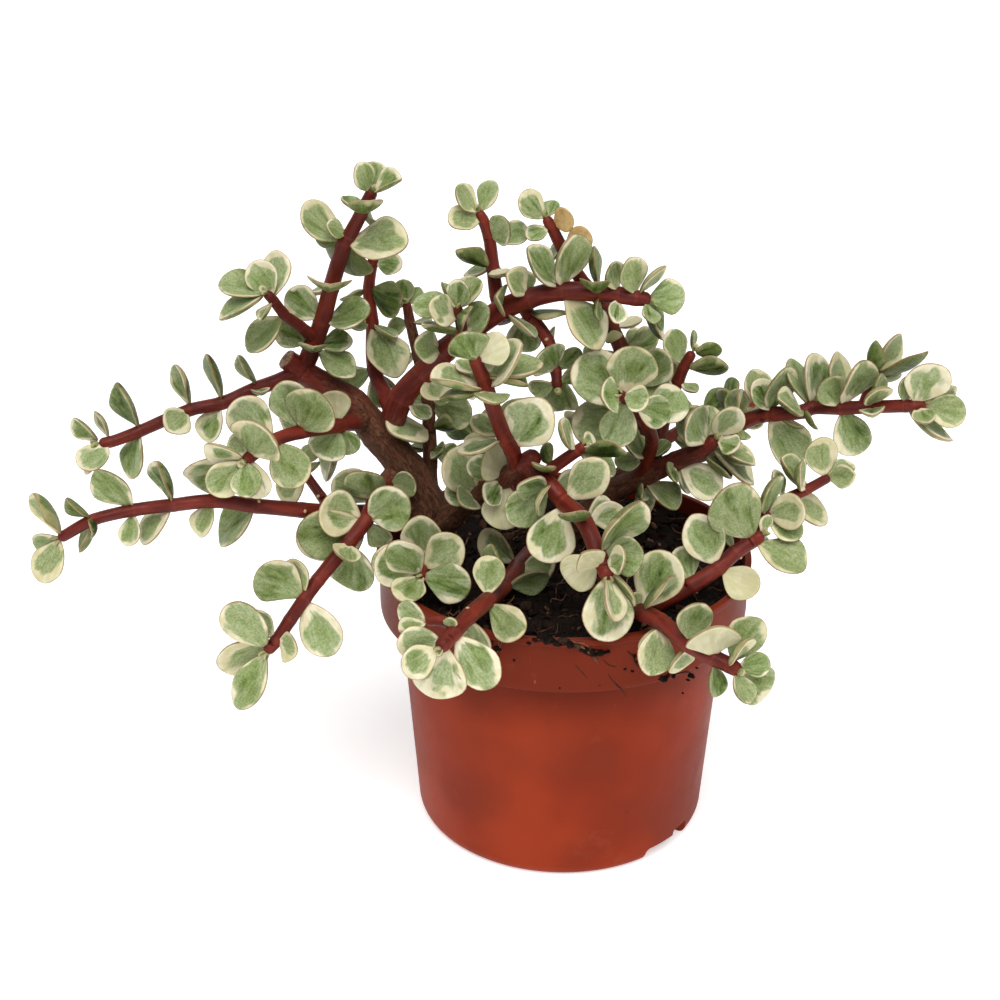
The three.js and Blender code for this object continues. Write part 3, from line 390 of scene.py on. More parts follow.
        [[350, 541, -15], [337, 570, -10, 0, 0.85], [354, 591, 4, 15]],
        [[318, 580, -22]],
        [[305, 598, -25], [263, 561, -3, 5, 0.85], [306, 555, 5, 20], [332, 656, -5, 5, 0.7]],
        [[290, 620, -28]],
        [[276, 641, -31], [251, 611, 3, 20], [301, 642, -5, 0, 1.0], [219, 668, -1, 40]],
        [[268, 650, -33], [227, 604, -4, 15, 0.62], [236, 708, -5, 30, 0.6]],
    ]},
]

# Shoots at the back, which the photograph doesn't show. Their places are points in space.
BACK_SHOOTS = [
    {"name": "back_left", "parent": "trunk", "thick": [4.6, 3.2], "places": [
        [-57, 16, 122], [-62, 27, 121], [-68, 38, 121], [-75, 48, 121], [-82, 56, 120], [-87, 61, 119],
    ]},
    {"name": "back_low", "plant": "back_low_stem", "thick": [5.0, 3.4], "places": [
        [-14, 30, 80], [-17, 39, 93], [-21, 52, 100], [-25, 65, 102], [-29, 77, 99], [-31, 85, 95],
    ]},
    {"name": "back_middle", "plant": "back_stem", "thick": [5.4, 3.4], "places": [
        [8, 30, 80], [10, 38, 97], [12, 48, 110], [14, 59, 120], [17, 69, 126], [20, 77, 128],
    ]},
    {"name": "back_right", "parent": "right_main", "thick": [4.8, 3.2], "places": [
        [14, 16, 108], [25, 28, 111], [37, 40, 115], [49, 51, 117], [60, 61, 117], [68, 68, 115],
    ]},
]


# Shoots as points along the stem and the leaves that stand on them

TILT = math.radians(PHOTO["elevation"])
TO_VIEWER = np.array((0, -math.cos(TILT), math.sin(TILT)))
PICTURE_UP = np.array((0, math.sin(TILT), math.cos(TILT)))
VIEWER = np.array(PHOTO["target"]) + TO_VIEWER * PHOTO["distance"]


def unit(vector):
    """The direction of a vector, with length 1."""
    return vector / np.linalg.norm(vector)


def lerp(start, end, share):
    """The value that lies this share of the way from start to end."""
    return start + (end - start) * share


def circle(count):
    """count angles, evenly round."""
    return np.arange(count) * 2 * math.pi / count


def bell(value):
    """1 at 0, and fading to both sides."""
    return np.exp(-value ** 2)


def ray_through(x, y):
    """The way that the viewer looks to see picture place (x, y)."""
    ray = -TO_VIEWER * PHOTO["focal"] + PICTURE_UP * (PHOTO["middle"] - y)
    ray[0] += x - PHOTO["middle"]
    return ray


def seen(x, y, depth):
    """The point seen at picture place (x, y) that lies depth behind the pot's axis."""
    ray = ray_through(x, y)
    return VIEWER + ray * (depth - VIEWER[1]) / ray[1]


def leaf_to_tip(node, tip, turn, ratio, ahead):
    """A leaf from its node to its tip. turn is 0 where its upper face looks at the viewer."""
    along = tip - node
    length = np.linalg.norm(along)
    along = along / length
    facing = unit(TO_VIEWER - along * TO_VIEWER.dot(along))
    sideways = np.cross(along, facing)
    if sideways.dot(ahead) < 0:
        sideways = -sideways
    angle = math.radians(turn)
    up = facing * math.cos(angle) + sideways * math.sin(angle)
    return {
        "base": node.copy(), "along": along, "up": up,
        "length": length, "width": length * ratio, "fold": abs(math.sin(angle)),
    }


def grow_seen(shoot):
    """A shoot of the photograph, with the points of its stem and its leaves in space."""
    points = np.array([seen(*node[0]) for node in shoot["nodes"]])
    leaves = []
    for i, (place, *tips) in enumerate(shoot["nodes"]):
        ahead = points[min(i + 1, len(points) - 1)] - points[max(i - 1, 0)]
        for x, y, lean, turn, *ratio in tips:
            tip = seen(x, y, place[2] + lean)
            leaf = leaf_to_tip(points[i], tip, turn, ratio[0] if ratio else LEAF["width_ratio"], ahead)
            leaf.update(node=i, tip=(x, y))
            leaves.append(leaf)
    return {**shoot, "points": points, "leaves": leaves}


def turned_about(vector, axis, angle):
    """vector turned about a unit axis."""
    along = axis * axis.dot(vector)
    return along + (vector - along) * math.cos(angle) + np.cross(axis, vector) * math.sin(angle)


def grow_back(shoot):
    """A pair of leaves at each place, every pair turned a quarter from the last."""
    points = np.array(shoot["places"], float)
    leaves = []
    first = LEAF["bare_nodes"]
    for i in range(first, len(points)):
        ahead = unit(points[i] - points[i - 1])
        level = unit(np.array((-ahead[1], ahead[0], 0)))
        spoke = turned_about(level, ahead, (i - first) * math.pi / 2 + LEAF["first_turn"])
        length = LEAF["last_length"] if i == len(points) - 1 else LEAF["back_length"] - (i - first)
        for sign in (1, -1):
            along = unit(spoke * sign + ahead * LEAF["forward"])
            up = unit(ahead - along * ahead.dot(along))
            base = points[i] - ahead * LEAF["stagger"] * (1 + sign)
            leaves.append({
                "base": base, "along": along, "up": up, "length": length,
                "width": length * LEAF["width_ratio"], "fold": LEAF["back_fold"], "node": i, "tip": None,
            })
    return {**shoot, "points": points, "leaves": leaves}


# Leaves give way to one another, to the stems and to the pot, as in the solid model

PROBES = np.array((
    (0.42, -0.45), (0.42, 0), (0.42, 0.45),
    (0.68, -0.8), (0.68, -0.27), (0.68, 0.27), (0.68, 0.8),
    (0.93, -0.5), (0.93, 0), (0.93, 0.5),
))  # places on a leaf, as shares of its length and of half its width

SETTLE = {
    "rounds": 60,
    "leaf_gap": 3.2,
    "stem_gap": 1.9,
    "pot_gap": 2,
    "wall_band": 4,
    "firmness": 0.6,
}


def pushes_from_leaves(probes, owner):
    """Pairs of probes of two leaves that are too near, and how far each first one has to move."""
    tree = kdtree.KDTree(len(probes))
    for i, probe in enumerate(probes):
        tree.insert(probe, i)
    tree.balance()
    pairs = [
        (i, j)
        for i, probe in enumerate(probes)
        for _, j, _ in tree.find_range(probe, SETTLE["leaf_gap"])
        if j > i and owner[i] != owner[j]
    ]
    if not pairs:
        return np.zeros(0, int), np.zeros((0, 3))
    first, second = np.array(pairs).T
    apart = probes[first] - probes[second]
    gap = np.linalg.norm(apart, axis=1, keepdims=True)
    move = apart / np.maximum(gap, 1e-9) * (SETTLE["leaf_gap"] - gap) / 2
    return np.concatenate((first, second)), np.concatenate((move, -move))


def pushes_from_stems(probes, starts, ends, clear):
    """Probes that are nearer to a stretch of stem than clear, and how far each one has to move."""
    span = ends - starts
    share = ((probes[:, None] - starts) * span).sum(2) / (span * span).sum(1)
    nearest = starts + np.clip(share, 0, 1)[..., None] * span
    away = probes[:, None] - nearest
    gap = np.linalg.norm(away, axis=2)
    probe, stem = np.nonzero(gap < clear)
    gap = gap[probe, stem]
    return probe, away[probe, stem] * ((clear[stem] - gap) / gap)[:, None]


def pushes_from_pot(probes):
    """Probes that are in the pot's wall or the soil, and how far each one has to move."""
    radius = np.hypot(probes[:, 0], probes[:, 1])
    rise = POT["height"] + SETTLE["pot_gap"] - probes[:, 2]
    out = POT["lip_radius"] + SETTLE["pot_gap"] - radius
    soil_rise = SOIL["edge"] + SOIL["crown"] + SETTLE["pot_gap"] - probes[:, 2]
    near = (rise > 0) & (out > 0)
    inside = near & (radius < POT["lip_radius"] - SETTLE["wall_band"])
    over = near & ~inside & (rise < out)
    beside = near & ~inside & ~over
    move = np.zeros_like(probes)
    move[inside, 2] = np.maximum(soil_rise, 0)[inside]
    move[over, 2] = rise[over]
    move[beside, :2] = probes[beside, :2] * (out / radius)[beside, None]
    pushed = np.nonzero((move != 0).any(1))[0]
    return pushed, move[pushed]


def stem_stretches(shoots):
    """Where every stretch of stem between two nodes starts and ends, and how far off its axis leaves keep."""
    starts = np.concatenate([shoot["points"][:-1] for shoot in shoots])
    ends = np.concatenate([shoot["points"][1:] for shoot in shoots])
    radii = []
    for shoot in shoots:
        count = len(shoot["points"]) - 1
        radii.append(lerp(*shoot["thick"], (np.arange(count) + 0.5) / count) / 2)
    return starts, ends, np.concatenate(radii) + SETTLE["stem_gap"]


def settle(shoots):
    """Turns every leaf about its base, a little in each round, away from what its probes come too near to."""
    leaves = [leaf for shoot in shoots for leaf in shoot["leaves"]]
    base, along, up = (np.array([leaf[key] for leaf in leaves]) for key in ("base", "along", "up"))
    length, width = (np.array([leaf[key] for leaf in leaves])[:, None, None] for key in ("length", "width"))
    owner = np.repeat(np.arange(len(leaves)), len(PROBES))
    stretches = stem_stretches(shoots)
    for _ in range(SETTLE["rounds"]):
        side = np.cross(along, up)
        probes = (
            base[:, None]
            + along[:, None] * PROBES[None, :, :1] * length
            + side[:, None] * PROBES[None, :, 1:] * width / 2
        ).reshape(-1, 3)
        found = (
            pushes_from_leaves(probes, owner),
            pushes_from_stems(probes, *stretches),
            pushes_from_pot(probes),
        )
        probe = np.concatenate([indices for indices, _ in found])
        move = np.concatenate([moves for _, moves in found])
        arm = probes[probe] - base[owner[probe]]
        turn = np.zeros_like(base)
        count = np.zeros(len(leaves))
        np.add.at(turn, owner[probe], np.cross(arm, move) / (arm * arm).sum(1)[:, None])
        np.add.at(count, owner[probe], 1)
        for i in np.nonzero(count)[0]:
            size = np.linalg.norm(turn[i])
            if size == 0:
                continue
            angle = size * SETTLE["firmness"] / math.sqrt(count[i])
            along[i] = turned_about(along[i], turn[i] / size, angle)
            up[i] = turned_about(up[i], turn[i] / size, angle)
    for i, leaf in enumerate(leaves):
        leaf["along"] = along[i]
        leaf["up"] = up[i]


# Meshes

def outline_frame(points):
    """Two directions across the path at each of its points, turning with it and never about it."""
    ahead = np.gradient(points, axis=0)
    ahead /= np.linalg.norm(ahead, axis=1, keepdims=True)
    first = np.array((0.3, 1, 0.2))
    normals = [unit(first - ahead[0] * ahead[0].dot(first))]
    for direction in ahead[1:]:
        normals.append(unit(normals[-1] - direction * direction.dot(normals[-1])))
    normals = np.array(normals)
    return ahead, normals, np.cross(ahead, normals)


def spokes_round(normals, binormals, turn):
    """For every point of a path, directions across it at the angles in turn."""
    return normals[:, None] * np.cos(turn)[:, None] + binormals[:, None] * np.sin(turn)[:, None]


def tube_faces(rings, sides):
    """Quads between rings of points, and a closing face at both ends."""
    ring = np.arange(rings - 1)[:, None] * sides
    side = np.arange(sides)
    after = (side + 1) % sides
    quads = np.stack((ring + side, ring + after, ring + sides + after, ring + sides + side), axis=2)
    first = list(range(sides - 1, -1, -1))
    last = [(rings - 1) * sides + i for i in range(sides)]
    return quads.reshape(-1, 4).tolist() + [first, last]


class Build:
    """Points, faces and named values gathered for one object."""

    def __init__(self):
        self.points = []
        self.faces = []
        self.values = {}
        self.count = 0

    def add(self, points, faces, **values):
        """values are one number or vector for all the points, or one for each."""
        points = np.asarray(points, float)
        self.points.append(points)
        self.faces += [[i + self.count for i in face] for face in faces]
        for name, value in values.items():
            value = np.asarray(value, float)
            shape = (len(points), 3) if value.shape[-1:] == (3,) else (len(points),)
            self.values.setdefault(name, []).append(np.broadcast_to(value, shape))
        self.count += len(points)

    def finish(self, name, material, node, slot, sharp=None):
        """Makes the object, which rides on the model and stands for its node."""
        mesh = bpy.data.meshes.new(name)
        mesh.from_pydata((np.concatenate(self.points) * MM).tolist(), [], self.faces)
        for key, parts in self.values.items():
            value = np.concatenate(parts)
            kind, field = ("FLOAT_VECTOR", "vector") if value.ndim == 2 else ("FLOAT", "value")
            mesh.attributes.new(key, kind, "POINT").data.foreach_set(field, value.ravel())
        mesh.materials.append(material)
        mesh.shade_smooth()
        if sharp:
            mesh.set_sharp_from_angle(angle=math.radians(sharp))
        piece = bpy.data.objects.new(name, mesh)
        bpy.context.scene.collection.objects.link(piece)
        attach(piece, "root")
        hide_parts(node)
        return piece


# Leaves

BLADE = {
    "outline": 34,  # points round the edge
    "rings": (0.3, 0.55, 0.75, 0.88, 0.96),  # between the middle and the edge
    "inset": 0.7,  # share of the stem's radius that is left out at the base
    "narrowing": 0.97,  # of the traced width, which holds the thickness too
    "neck": 0.12,  # share of the half width
    "middle": 0.56,  # share of the length, like the next
    "widest": 0.57,
    "fullness": (1.5, 2),  # from the base to the widest place
    "bluntness": (1.75, 2.15),  # from there to the tip
    "fold_sharpens": 0.4,  # how much a leaf that is seen from its side loses of bluntness, and of cup
    "fold_flattens": 0.4,
    "wave": 0.018,  # of the outline, as a share of the half width
    "wave_counts": (1, 2, 3, 4, 6),
    "upper": 0.55,  # thickness above and below the plane of the edge
    "lower": 1.55,
    "roundness": 2.3,
    "cup": (0.08, 0.34),  # from here to twist: shares of the half width
    "fold": 0.16,
    "more_fold": (0.05, 0.3),  # for a leaf that is seen from its side
    "ripple": (0.01, 0.05),
    "bend": 0.05,
    "twist": 0.08,
    "arch": (-0.02, 0.1),  # share of the length
    "rim": (0.05, 0.34),  # height
    "rim_place": 0.9,  # share of the way to the edge, like the next
    "rim_width": 0.08,
    "groove": (0.05, 0.3),  # depth
    "groove_width": 0.8,
    "groove_place": 0.2,  # share of the length, like the next
    "groove_length": 0.22,
}

# How the streaks spread over a blade, like a fan from a point behind its base
FAN = {"behind": 4, "across": 9, "along": 0.16}
LAYER_STEP = 9.7  # keeps the pattern of one leaf apart from the next


def blade_grid():
    """A blade's points as outline angle, share of the way to the edge and side, and its faces."""
    count = BLADE["outline"]
    angle = circle(count)
    turns = [angle]
    outs = [np.ones(count)]
    sides = [np.zeros(count)]
    faces = []
    for side in (1, -1):
        previous = list(range(count))
        for share in reversed(BLADE["rings"]):
            start = sum(len(part) for part in turns)
            turns.append(angle)
            outs.append(np.full(count, share))
            sides.append(np.full(count, side))
            ring = list(range(start, start + count))
            for i in range(count):
                j = (i + 1) % count
                faces.append([previous[i], previous[j], ring[j], ring[i]][::side])
            previous = ring
        start = sum(len(part) for part in turns)
        turns.append(np.zeros(1))
        outs.append(np.zeros(1))
        sides.append(np.full(1, side))
        for i in range(count):
            faces.append([previous[i], previous[(i + 1) % count], start][::side])
    return np.concatenate(turns), np.concatenate(outs), np.concatenate(sides), faces


def half_width(share, fullness, bluntness):
    """Half the width at a share of the length: a wedge that swells to the widest place and a round tip."""
    widest = BLADE["widest"]
    wedge = BLADE["neck"] + (1 - BLADE["neck"]) * (1 - np.maximum(1 - share / widest, 0) ** fullness)
    tip = (1 - np.clip((share - widest) / (1 - widest), 0, 1) ** bluntness) ** (1 / bluntness)
    return np.where(share < widest, wedge, tip)


def blade_edge(turn, share, closed, chance):
    """How far out each place of the outline lies, as a share of the half width, with small waves."""
    fullness = chance.uniform(*BLADE["fullness"])
    bluntness = chance.uniform(*BLADE["bluntness"]) - BLADE["fold_sharpens"] * closed
    across = np.sign(np.round(np.sin(turn), 6)) * half_width(share, fullness, bluntness)
    waves = sum(
        chance.uniform(0, BLADE["wave"]) * np.sin(count * turn + chance.uniform(0, 2 * math.pi))
        for count in BLADE["wave_counts"]
    )
    return across * (1 + waves)


def blade_relief(grid, share, across, length, half, closed, chance):
    """How far each point lies above the plane of the edge and how far it is shifted to the side."""
    turn, out, side, _ = grid
    body = np.sqrt(1 - out ** BLADE["roundness"])
    cup = chance.uniform(*BLADE["cup"]) * (1 - BLADE["fold_flattens"] * closed)
    arch = chance.uniform(*BLADE["arch"])
    fold = max(0, chance.normal(0, BLADE["fold"])) + closed * chance.uniform(*BLADE["more_fold"])
    ripple = chance.uniform(*BLADE["ripple"])
    bend = chance.normal(0, BLADE["bend"])
    twist = chance.normal(0, BLADE["twist"])
    height = (cup * across ** 2 + fold * np.abs(across) + twist * across * (share - 0.5)) * half
    height -= arch * 4 * share * (1 - share) * length
    height += ripple * half * out ** 3 * np.sin(3 * turn + chance.uniform(0, 2 * math.pi))
    rim = chance.uniform(*BLADE["rim"]) * bell((out - BLADE["rim_place"]) / BLADE["rim_width"])
    rim = rim * np.clip(share * 3, 0, 1)
    beside = across * half / BLADE["groove_width"]
    beyond = (share - BLADE["groove_place"]) / BLADE["groove_length"]
    groove = chance.uniform(*BLADE["groove"]) * np.exp(-beside ** 2 - beyond ** 2)
    above = BLADE["upper"] * body + (rim - groove) * (out < 0.999)
    thickness = np.where(side > 0, above, -BLADE["lower"] * body * (side < 0))
    height += thickness * (length / LEAF["back_length"]) ** 0.5
    return height, bend * share * (1 - share) * 4 * half


def add_leaf(build, leaf, grid, number, chance):
    """One leaf: thin, flat or hollow above and rounded below, with a raised rim."""
    turn, out, side, faces = grid
    length = leaf["length"] - BLADE["inset"] * leaf["stem_radius"]
    base = leaf["base"] + leaf["along"] * (leaf["length"] - length)
    half = leaf["width"] / 2 * BLADE["narrowing"]
    closed = leaf["fold"] ** 2
    edge_share = 0.5 - 0.5 * np.cos(turn)
    across = blade_edge(turn, edge_share, closed, chance) * out
    share = BLADE["middle"] + (edge_share - BLADE["middle"]) * out
    height, drift = blade_relief(grid, share, across, length, half, closed, chance)
    along_mm = share * length
    across_mm = across * half
    points = (
        base
        + np.outer(along_mm, leaf["along"])
        + np.outer(across_mm + drift, np.cross(leaf["along"], leaf["up"]))
        + np.outer(height, leaf["up"])
    )
    layer = np.full(len(points), number * LAYER_STEP)
    spread = np.arctan2(across_mm, along_mm + FAN["behind"]) * FAN["across"]
    build.add(
        points, faces,
        blade=np.stack((along_mm, across_mm, layer), axis=1),
        fan=np.stack((spread, along_mm * FAN["along"], layer), axis=1),
        edge=out,
        share=share,
        under=(1 - side) / 2,
        chances=chance.uniform(0, 1, 3),
        pale=leaf["pale"],
        dry=leaf["dry"],
    )


# Stems

STEM = {
    "sides": 14,
    "step": 1.2,
    "fine_step": 0.1,  # for measuring along the curve
    "node_rings": (-1.6, -1.0, -0.55, -0.25, 0, 0.25, 0.55, 1.0, 1.6),
    "swelling": 0.05,
    "swelling_length": 1.0,
    "paler_length": 0.4,
    "flare": 0.35,
    "least_flare": -0.2,
    "flare_limit": 0.78,  # share of the parent's radius
    "root": 8,  # how far a rooted stem goes on below its first point
    "trunk_sides": 40,
    "trunk_step": 0.8,
    "layer": 31.7,  # keeps the grain of one stem apart from the next
    "waves": (1.4, 0.16, 0.03),  # scale round the stem, scale along it and share of the radius
    "bumps": (3.5, 0.35, (0.01, 0.1)),  # the same, where young and where old
}

# Rings that close a tip: share of its radius, rise as a share of its radius and 1 where the wood shows
CUT_END = ((1.02, 0.3, 0), (0.9, 0.55, 1), (0.6, 0.35, 1), (0.3, 0, 1), (0.08, -0.3, 1))
ROUND_END = ((0.95, 0.35, 0), (0.8, 0.65, 0), (0.5, 0.9, 0), (0.15, 1, 0))
CUT_SHOOT = "trunk"

# How old the wood is at both ends of a shoot, from 0 for red and smooth to 1 for brown bark
AGES = {
    "trunk": (1, 0.12),
    "front_trunk": (0.9, 0.1),
    "inner_left": (0.9, 0.3),
    "right_main": (0.75, 0.1),
    "crown_right": (0.6, 0),
    "right_spur": (0.5, 0),
}


def curve_through(points):
    """A smooth centripetal curve: a function from a place in the list of points to a point."""
    ends = np.array((2 * points[0] - points[1], 2 * points[-1] - points[-2]))
    knots = np.concatenate((ends[:1], points, ends[1:]))

    def at(place):
        i = min(int(place), len(points) - 2)
        share = place - i
        p = knots[i:i + 4]
        gaps = np.sqrt(np.linalg.norm(np.diff(p, axis=0), axis=1))
        before = (p[1] - p[0]) / gaps[0] - (p[2] - p[0]) / (gaps[0] + gaps[1]) + (p[2] - p[1]) / gaps[1]
        after = (p[2] - p[1]) / gaps[1] - (p[3] - p[1]) / (gaps[1] + gaps[2]) + (p[3] - p[2]) / gaps[2]
        before, after = before * gaps[1], after * gaps[1]
        return (
            p[1]
            + before * share
            + (-3 * p[1] + 3 * p[2] - 2 * before - after) * share ** 2
            + (2 * p[1] - 2 * p[2] + before + after) * share ** 3
        )

    return at


def sampled(points, step):
    """Points close together along the smooth curve, with the place of each in the list of points."""
    at = curve_through(points)
    places = []
    for i in range(len(points) - 1):
        count = max(2, round(np.linalg.norm(points[i + 1] - points[i]) / step))
        places += [i + j / count for j in range(count)]
    places.append(len(points) - 1)
    return np.array([at(place) for place in places]), np.array(places, float)


def stem_line(shoot):
    """A stem's smooth line, with each point's place in the list of nodes and its distance along the line."""
    line, places = sampled(shoot["points"], STEM["fine_step"])
    run = np.concatenate(((0,), np.cumsum(np.linalg.norm(np.diff(line, axis=0), axis=1))))
    if "parent" not in shoot:
        line = np.concatenate(((line[0] + unit(line[0] - line[1]) * STEM["root"],), line))
        places = np.concatenate(((0,), places))
        run = np.concatenate(((-STEM["root"],), run))
    return line, places, run


def stem_stations(run, nodes_at, step):
    """How far along a stem its rings of points stand: at even steps, and closer at the nodes."""
    cuts = [np.arange(run[0], run[-1], step), (run[-1],)]
    cuts += [node + np.array(STEM["node_rings"]) for node in nodes_at]
    stations = np.unique(np.round(np.concatenate(cuts), 2))
    return stations[(stations >= run[0]) & (stations <= run[-1])]


def swollen(stations, radius, nodes_at):
    """The radius with a swelling at every node, and how near each station is to a node."""
    ring = np.zeros(len(stations))
    for node in nodes_at:
        gap = stations - node
        radius = radius * (1 + STEM["swelling"] * bell(gap / STEM["swelling_length"]))
        ring = np.maximum(ring, bell(gap / STEM["paler_length"]))
    return radius, ring


def flared(shoot, parent, stations, radius, ages):
    """The radius and the ages of a stem that starts as wide and as old as its parent lets it."""
    nodes = parent["points"]
    place = np.linalg.norm(nodes - shoot["points"][0], axis=1).argmin() / (len(nodes) - 1)
    bark = lerp(*parent["thick"], place) / 2
    flare = np.clip(bark * STEM["flare_limit"] / radius[0] - 1, STEM["least_flare"], STEM["flare"])
    fade = np.exp(-np.maximum(stations - bark, 0) / radius)
    if parent["name"] in AGES:
        ages = np.maximum(ages, lerp(*AGES[parent["name"]], place) * fade ** 0.6)
    return radius * (1 + flare * fade), ages


def stem_roughness(turn, stations, ages, layer):
    """Low waves and, on old wood, bumps: a share of the radius for every point."""

    def waves(angle, station, around, along):
        x, y = math.cos(angle) * around, math.sin(angle) * around
        return noise.noise(Vector((x, y, station * along + layer)))

    *wave, wave_size = STEM["waves"]
    *bump, bump_sizes = STEM["bumps"]
    return np.array([
        [
            waves(angle, station, *wave) * wave_size + waves(angle, station, *bump) * lerp(*bump_sizes, age)
            for angle in turn
        ]
        for station, age in zip(stations, ages)
    ])


def with_tip(shoot, ahead, centres, stations, radius):
    """The rings of a stem and of its closed tip, and 1 for each ring where cut wood shows."""
    share, rise, mark = np.array(CUT_END if shoot["name"] == CUT_SHOOT else ROUND_END).T
    tip = radius[-1]
    return (
        np.concatenate((centres, centres[-1] + ahead[-1] * tip * rise[:, None])),
        np.concatenate((stations, stations[-1] + tip * rise)),
        np.concatenate((radius, tip * share)),
        np.concatenate((np.zeros(len(stations)), mark)),
    )


def held_on(values, count):
    """values with the last one repeated until there are count of them."""
    return np.concatenate((values, np.repeat(values[-1:], count - len(values), axis=0)))


def add_stem(build, shoot, by_name):
    """One shoot's stem, thicker at its nodes and where it leaves its parent."""
    nodes = shoot["points"]
    old = AGES.get(shoot["name"], (0, 0))[0] == 1
    sides = STEM["trunk_sides"] if old else STEM["sides"]
    line, places, run = stem_line(shoot)
    nodes_at = np.interp(np.arange(1, len(nodes)), places, run)
    stations = stem_stations(run, nodes_at[:-1], STEM["trunk_step"] if old else STEM["step"])
    centres = np.stack([np.interp(stations, run, line[:, axis]) for axis in range(3)], axis=1)
    place = np.interp(stations, run, places) / (len(nodes) - 1)
    radius = lerp(*shoot["thick"], place) / 2
    ages = lerp(*AGES.get(shoot["name"], (0, 0)), place)
    radius, ring = swollen(stations, radius, nodes_at[:-1] if len(nodes_at) > 1 else nodes_at)
    if "parent" in shoot:
        radius, ages = flared(shoot, by_name[shoot["parent"]], stations, radius, ages)
    ahead, normals, binormals = outline_frame(centres)
    centres, stations, radius, cut = with_tip(shoot, ahead, centres, stations, radius)
    ages, normals, binormals = (held_on(values, len(stations)) for values in (ages, normals, binormals))
    ring = np.concatenate((ring, np.zeros(len(stations) - len(ring))))
    turn = circle(sides)
    layer = len(build.points) * STEM["layer"]
    rough = stem_roughness(turn, stations, ages, layer)
    spokes = spokes_round(normals, binormals, turn)
    surface = centres[:, None] + spokes * (radius[:, None] * (1 + rough))[..., None]
    grain = np.stack((
        np.cos(turn) * radius[:, None],
        np.sin(turn) * radius[:, None],
        np.broadcast_to((stations + layer)[:, None], rough.shape),
    ), axis=2)
    build.add(
        surface.reshape(-1, 3), tube_faces(len(stations), sides),
        grain=grain.reshape(-1, 3),
        age=np.repeat(ages, sides),
        ring=np.repeat(ring, sides),
        cut=np.repeat(cut, sides),
        scar=0,
    )


# Pot

def filleted(corners):
    """A profile through corners given as (radius, height, fillet), with the fillets as short arcs."""
    points = []
    for i, (x, z, fillet) in enumerate(corners):
        corner = np.array((x, z), float)
        if fillet == 0:
            points.append(corner)
            continue
        before = unit(np.array(corners[i - 1][:2]) - corner) * fillet
        after = unit(np.array(corners[i + 1][:2]) - corner) * fillet
        for share in np.linspace(0, 1, 5):
            points.append(corner + before * (1 - share) ** 2 + after * share ** 2)
    return np.array(points)


def with_steps(profile, step):
    """The profile with no stretch longer than step."""
    points = [profile[0]]
    for end in profile[1:]:
        start = points[-1]
        count = max(1, math.ceil(np.linalg.norm(end - start) / step))
        points += [lerp(start, end, (i + 1) / count) for i in range(count)]
    return np.array(points)


def lathed(profile, sides):
    """Points and faces of a closed body whose profile starts and ends on the axis."""
    inner = profile[1:-1]
    turn = circle(sides)
    ring = np.stack((np.sin(turn), -np.cos(turn)), axis=1)
    points = [(0, 0, profile[0][1])]
    points += [(radius * x, radius * y, z) for radius, z in inner for x, y in ring]
    points.append((0, 0, profile[-1][1]))
    last = len(points) - 1
    faces = []
    for j in range(sides):
        after = (j + 1) % sides
        faces.append((0, 1 + after, 1 + j))
        faces.append((last, last - sides + j, last - sides + after))
        for i in range(len(inner) - 1):
            low = 1 + i * sides
            faces.append((low + j, low + after, low + sides + after, low + sides + j))
    return np.array(points), faces


def pot_profile():
    """Half the pot's section: from the middle of the base out, up the outside and down the inside."""
    height, wall, fillet, crisp = (POT[key] for key in ("height", "wall", "fillet", "small_fillet"))
    collar, waist, foot, base = (POT[key + "_radius"] for key in ("collar", "waist", "foot", "base"))
    collar_foot = height - POT["collar_height"]
    lip_foot = height - POT["lip_height"]
    lean, drop = POT["step_lean"]
    turn = np.linspace(0, math.pi / 2, 9)
    bottom_edge = np.stack((
        base + (foot - base) * np.sin(turn),
        POT["foot_height"] * (1 - np.cos(turn)),
    ), axis=1)
    outside = filleted((
        (foot, POT["foot_height"], 0),
        (waist, collar_foot - POT["step"], fillet),
        (collar - lean, collar_foot - drop, 0.55),
        (collar, collar_foot + POT["collar_rise"], crisp),
        (collar, lip_foot, crisp),
        (POT["lip_radius"], lip_foot + POT["lip_edge"], 0.35),
        (POT["lip_radius"], height, 0.6),
        (collar - wall, height, crisp),
        (collar - wall, collar_foot + POT["step"], fillet),
        (waist - wall, collar_foot, fillet),
        (foot - wall, POT["raised_floor"], 1),
        (POT["raised_radius"] + wall, POT["raised_floor"], fillet),
        (POT["raised_radius"] - wall, POT["floor"], fillet),
        (0, POT["floor"], 0),
    ))
    centre = np.array(((0, 0), (base / 2, 0)))
    return with_steps(np.concatenate((centre, bottom_edge, outside[1:])), POT["longest_step"])


def sector(azimuth, spread, inner, height, corner):
    """A cutter: a block round the pot's axis, from below the base to height, with rounded upper corners."""
    outer = POT["foot_radius"] + DRAIN["reach"]
    arc = math.radians(spread / 2) * POT["base_radius"]
    turn = np.linspace(0, math.pi / 2, 6)
    right = np.stack((arc - corner + corner * np.cos(turn), height - corner + corner * np.sin(turn)), axis=1)
    lowest = np.array(((arc + DRAIN["foot_flare"], -DRAIN["below"]),))
    mirror = (-1, 1)
    outline = np.concatenate((lowest, right, right[::-1] * mirror, lowest * mirror))
    angle = math.radians(azimuth) + outline[:, 0] / POT["base_radius"]
    rings = [
        np.stack((np.sin(angle) * radius, -np.cos(angle) * radius, outline[:, 1]), axis=1)
        for radius in np.linspace(inner, outer, 4)
    ]
    return np.concatenate(rings), tube_faces(len(rings), len(outline))


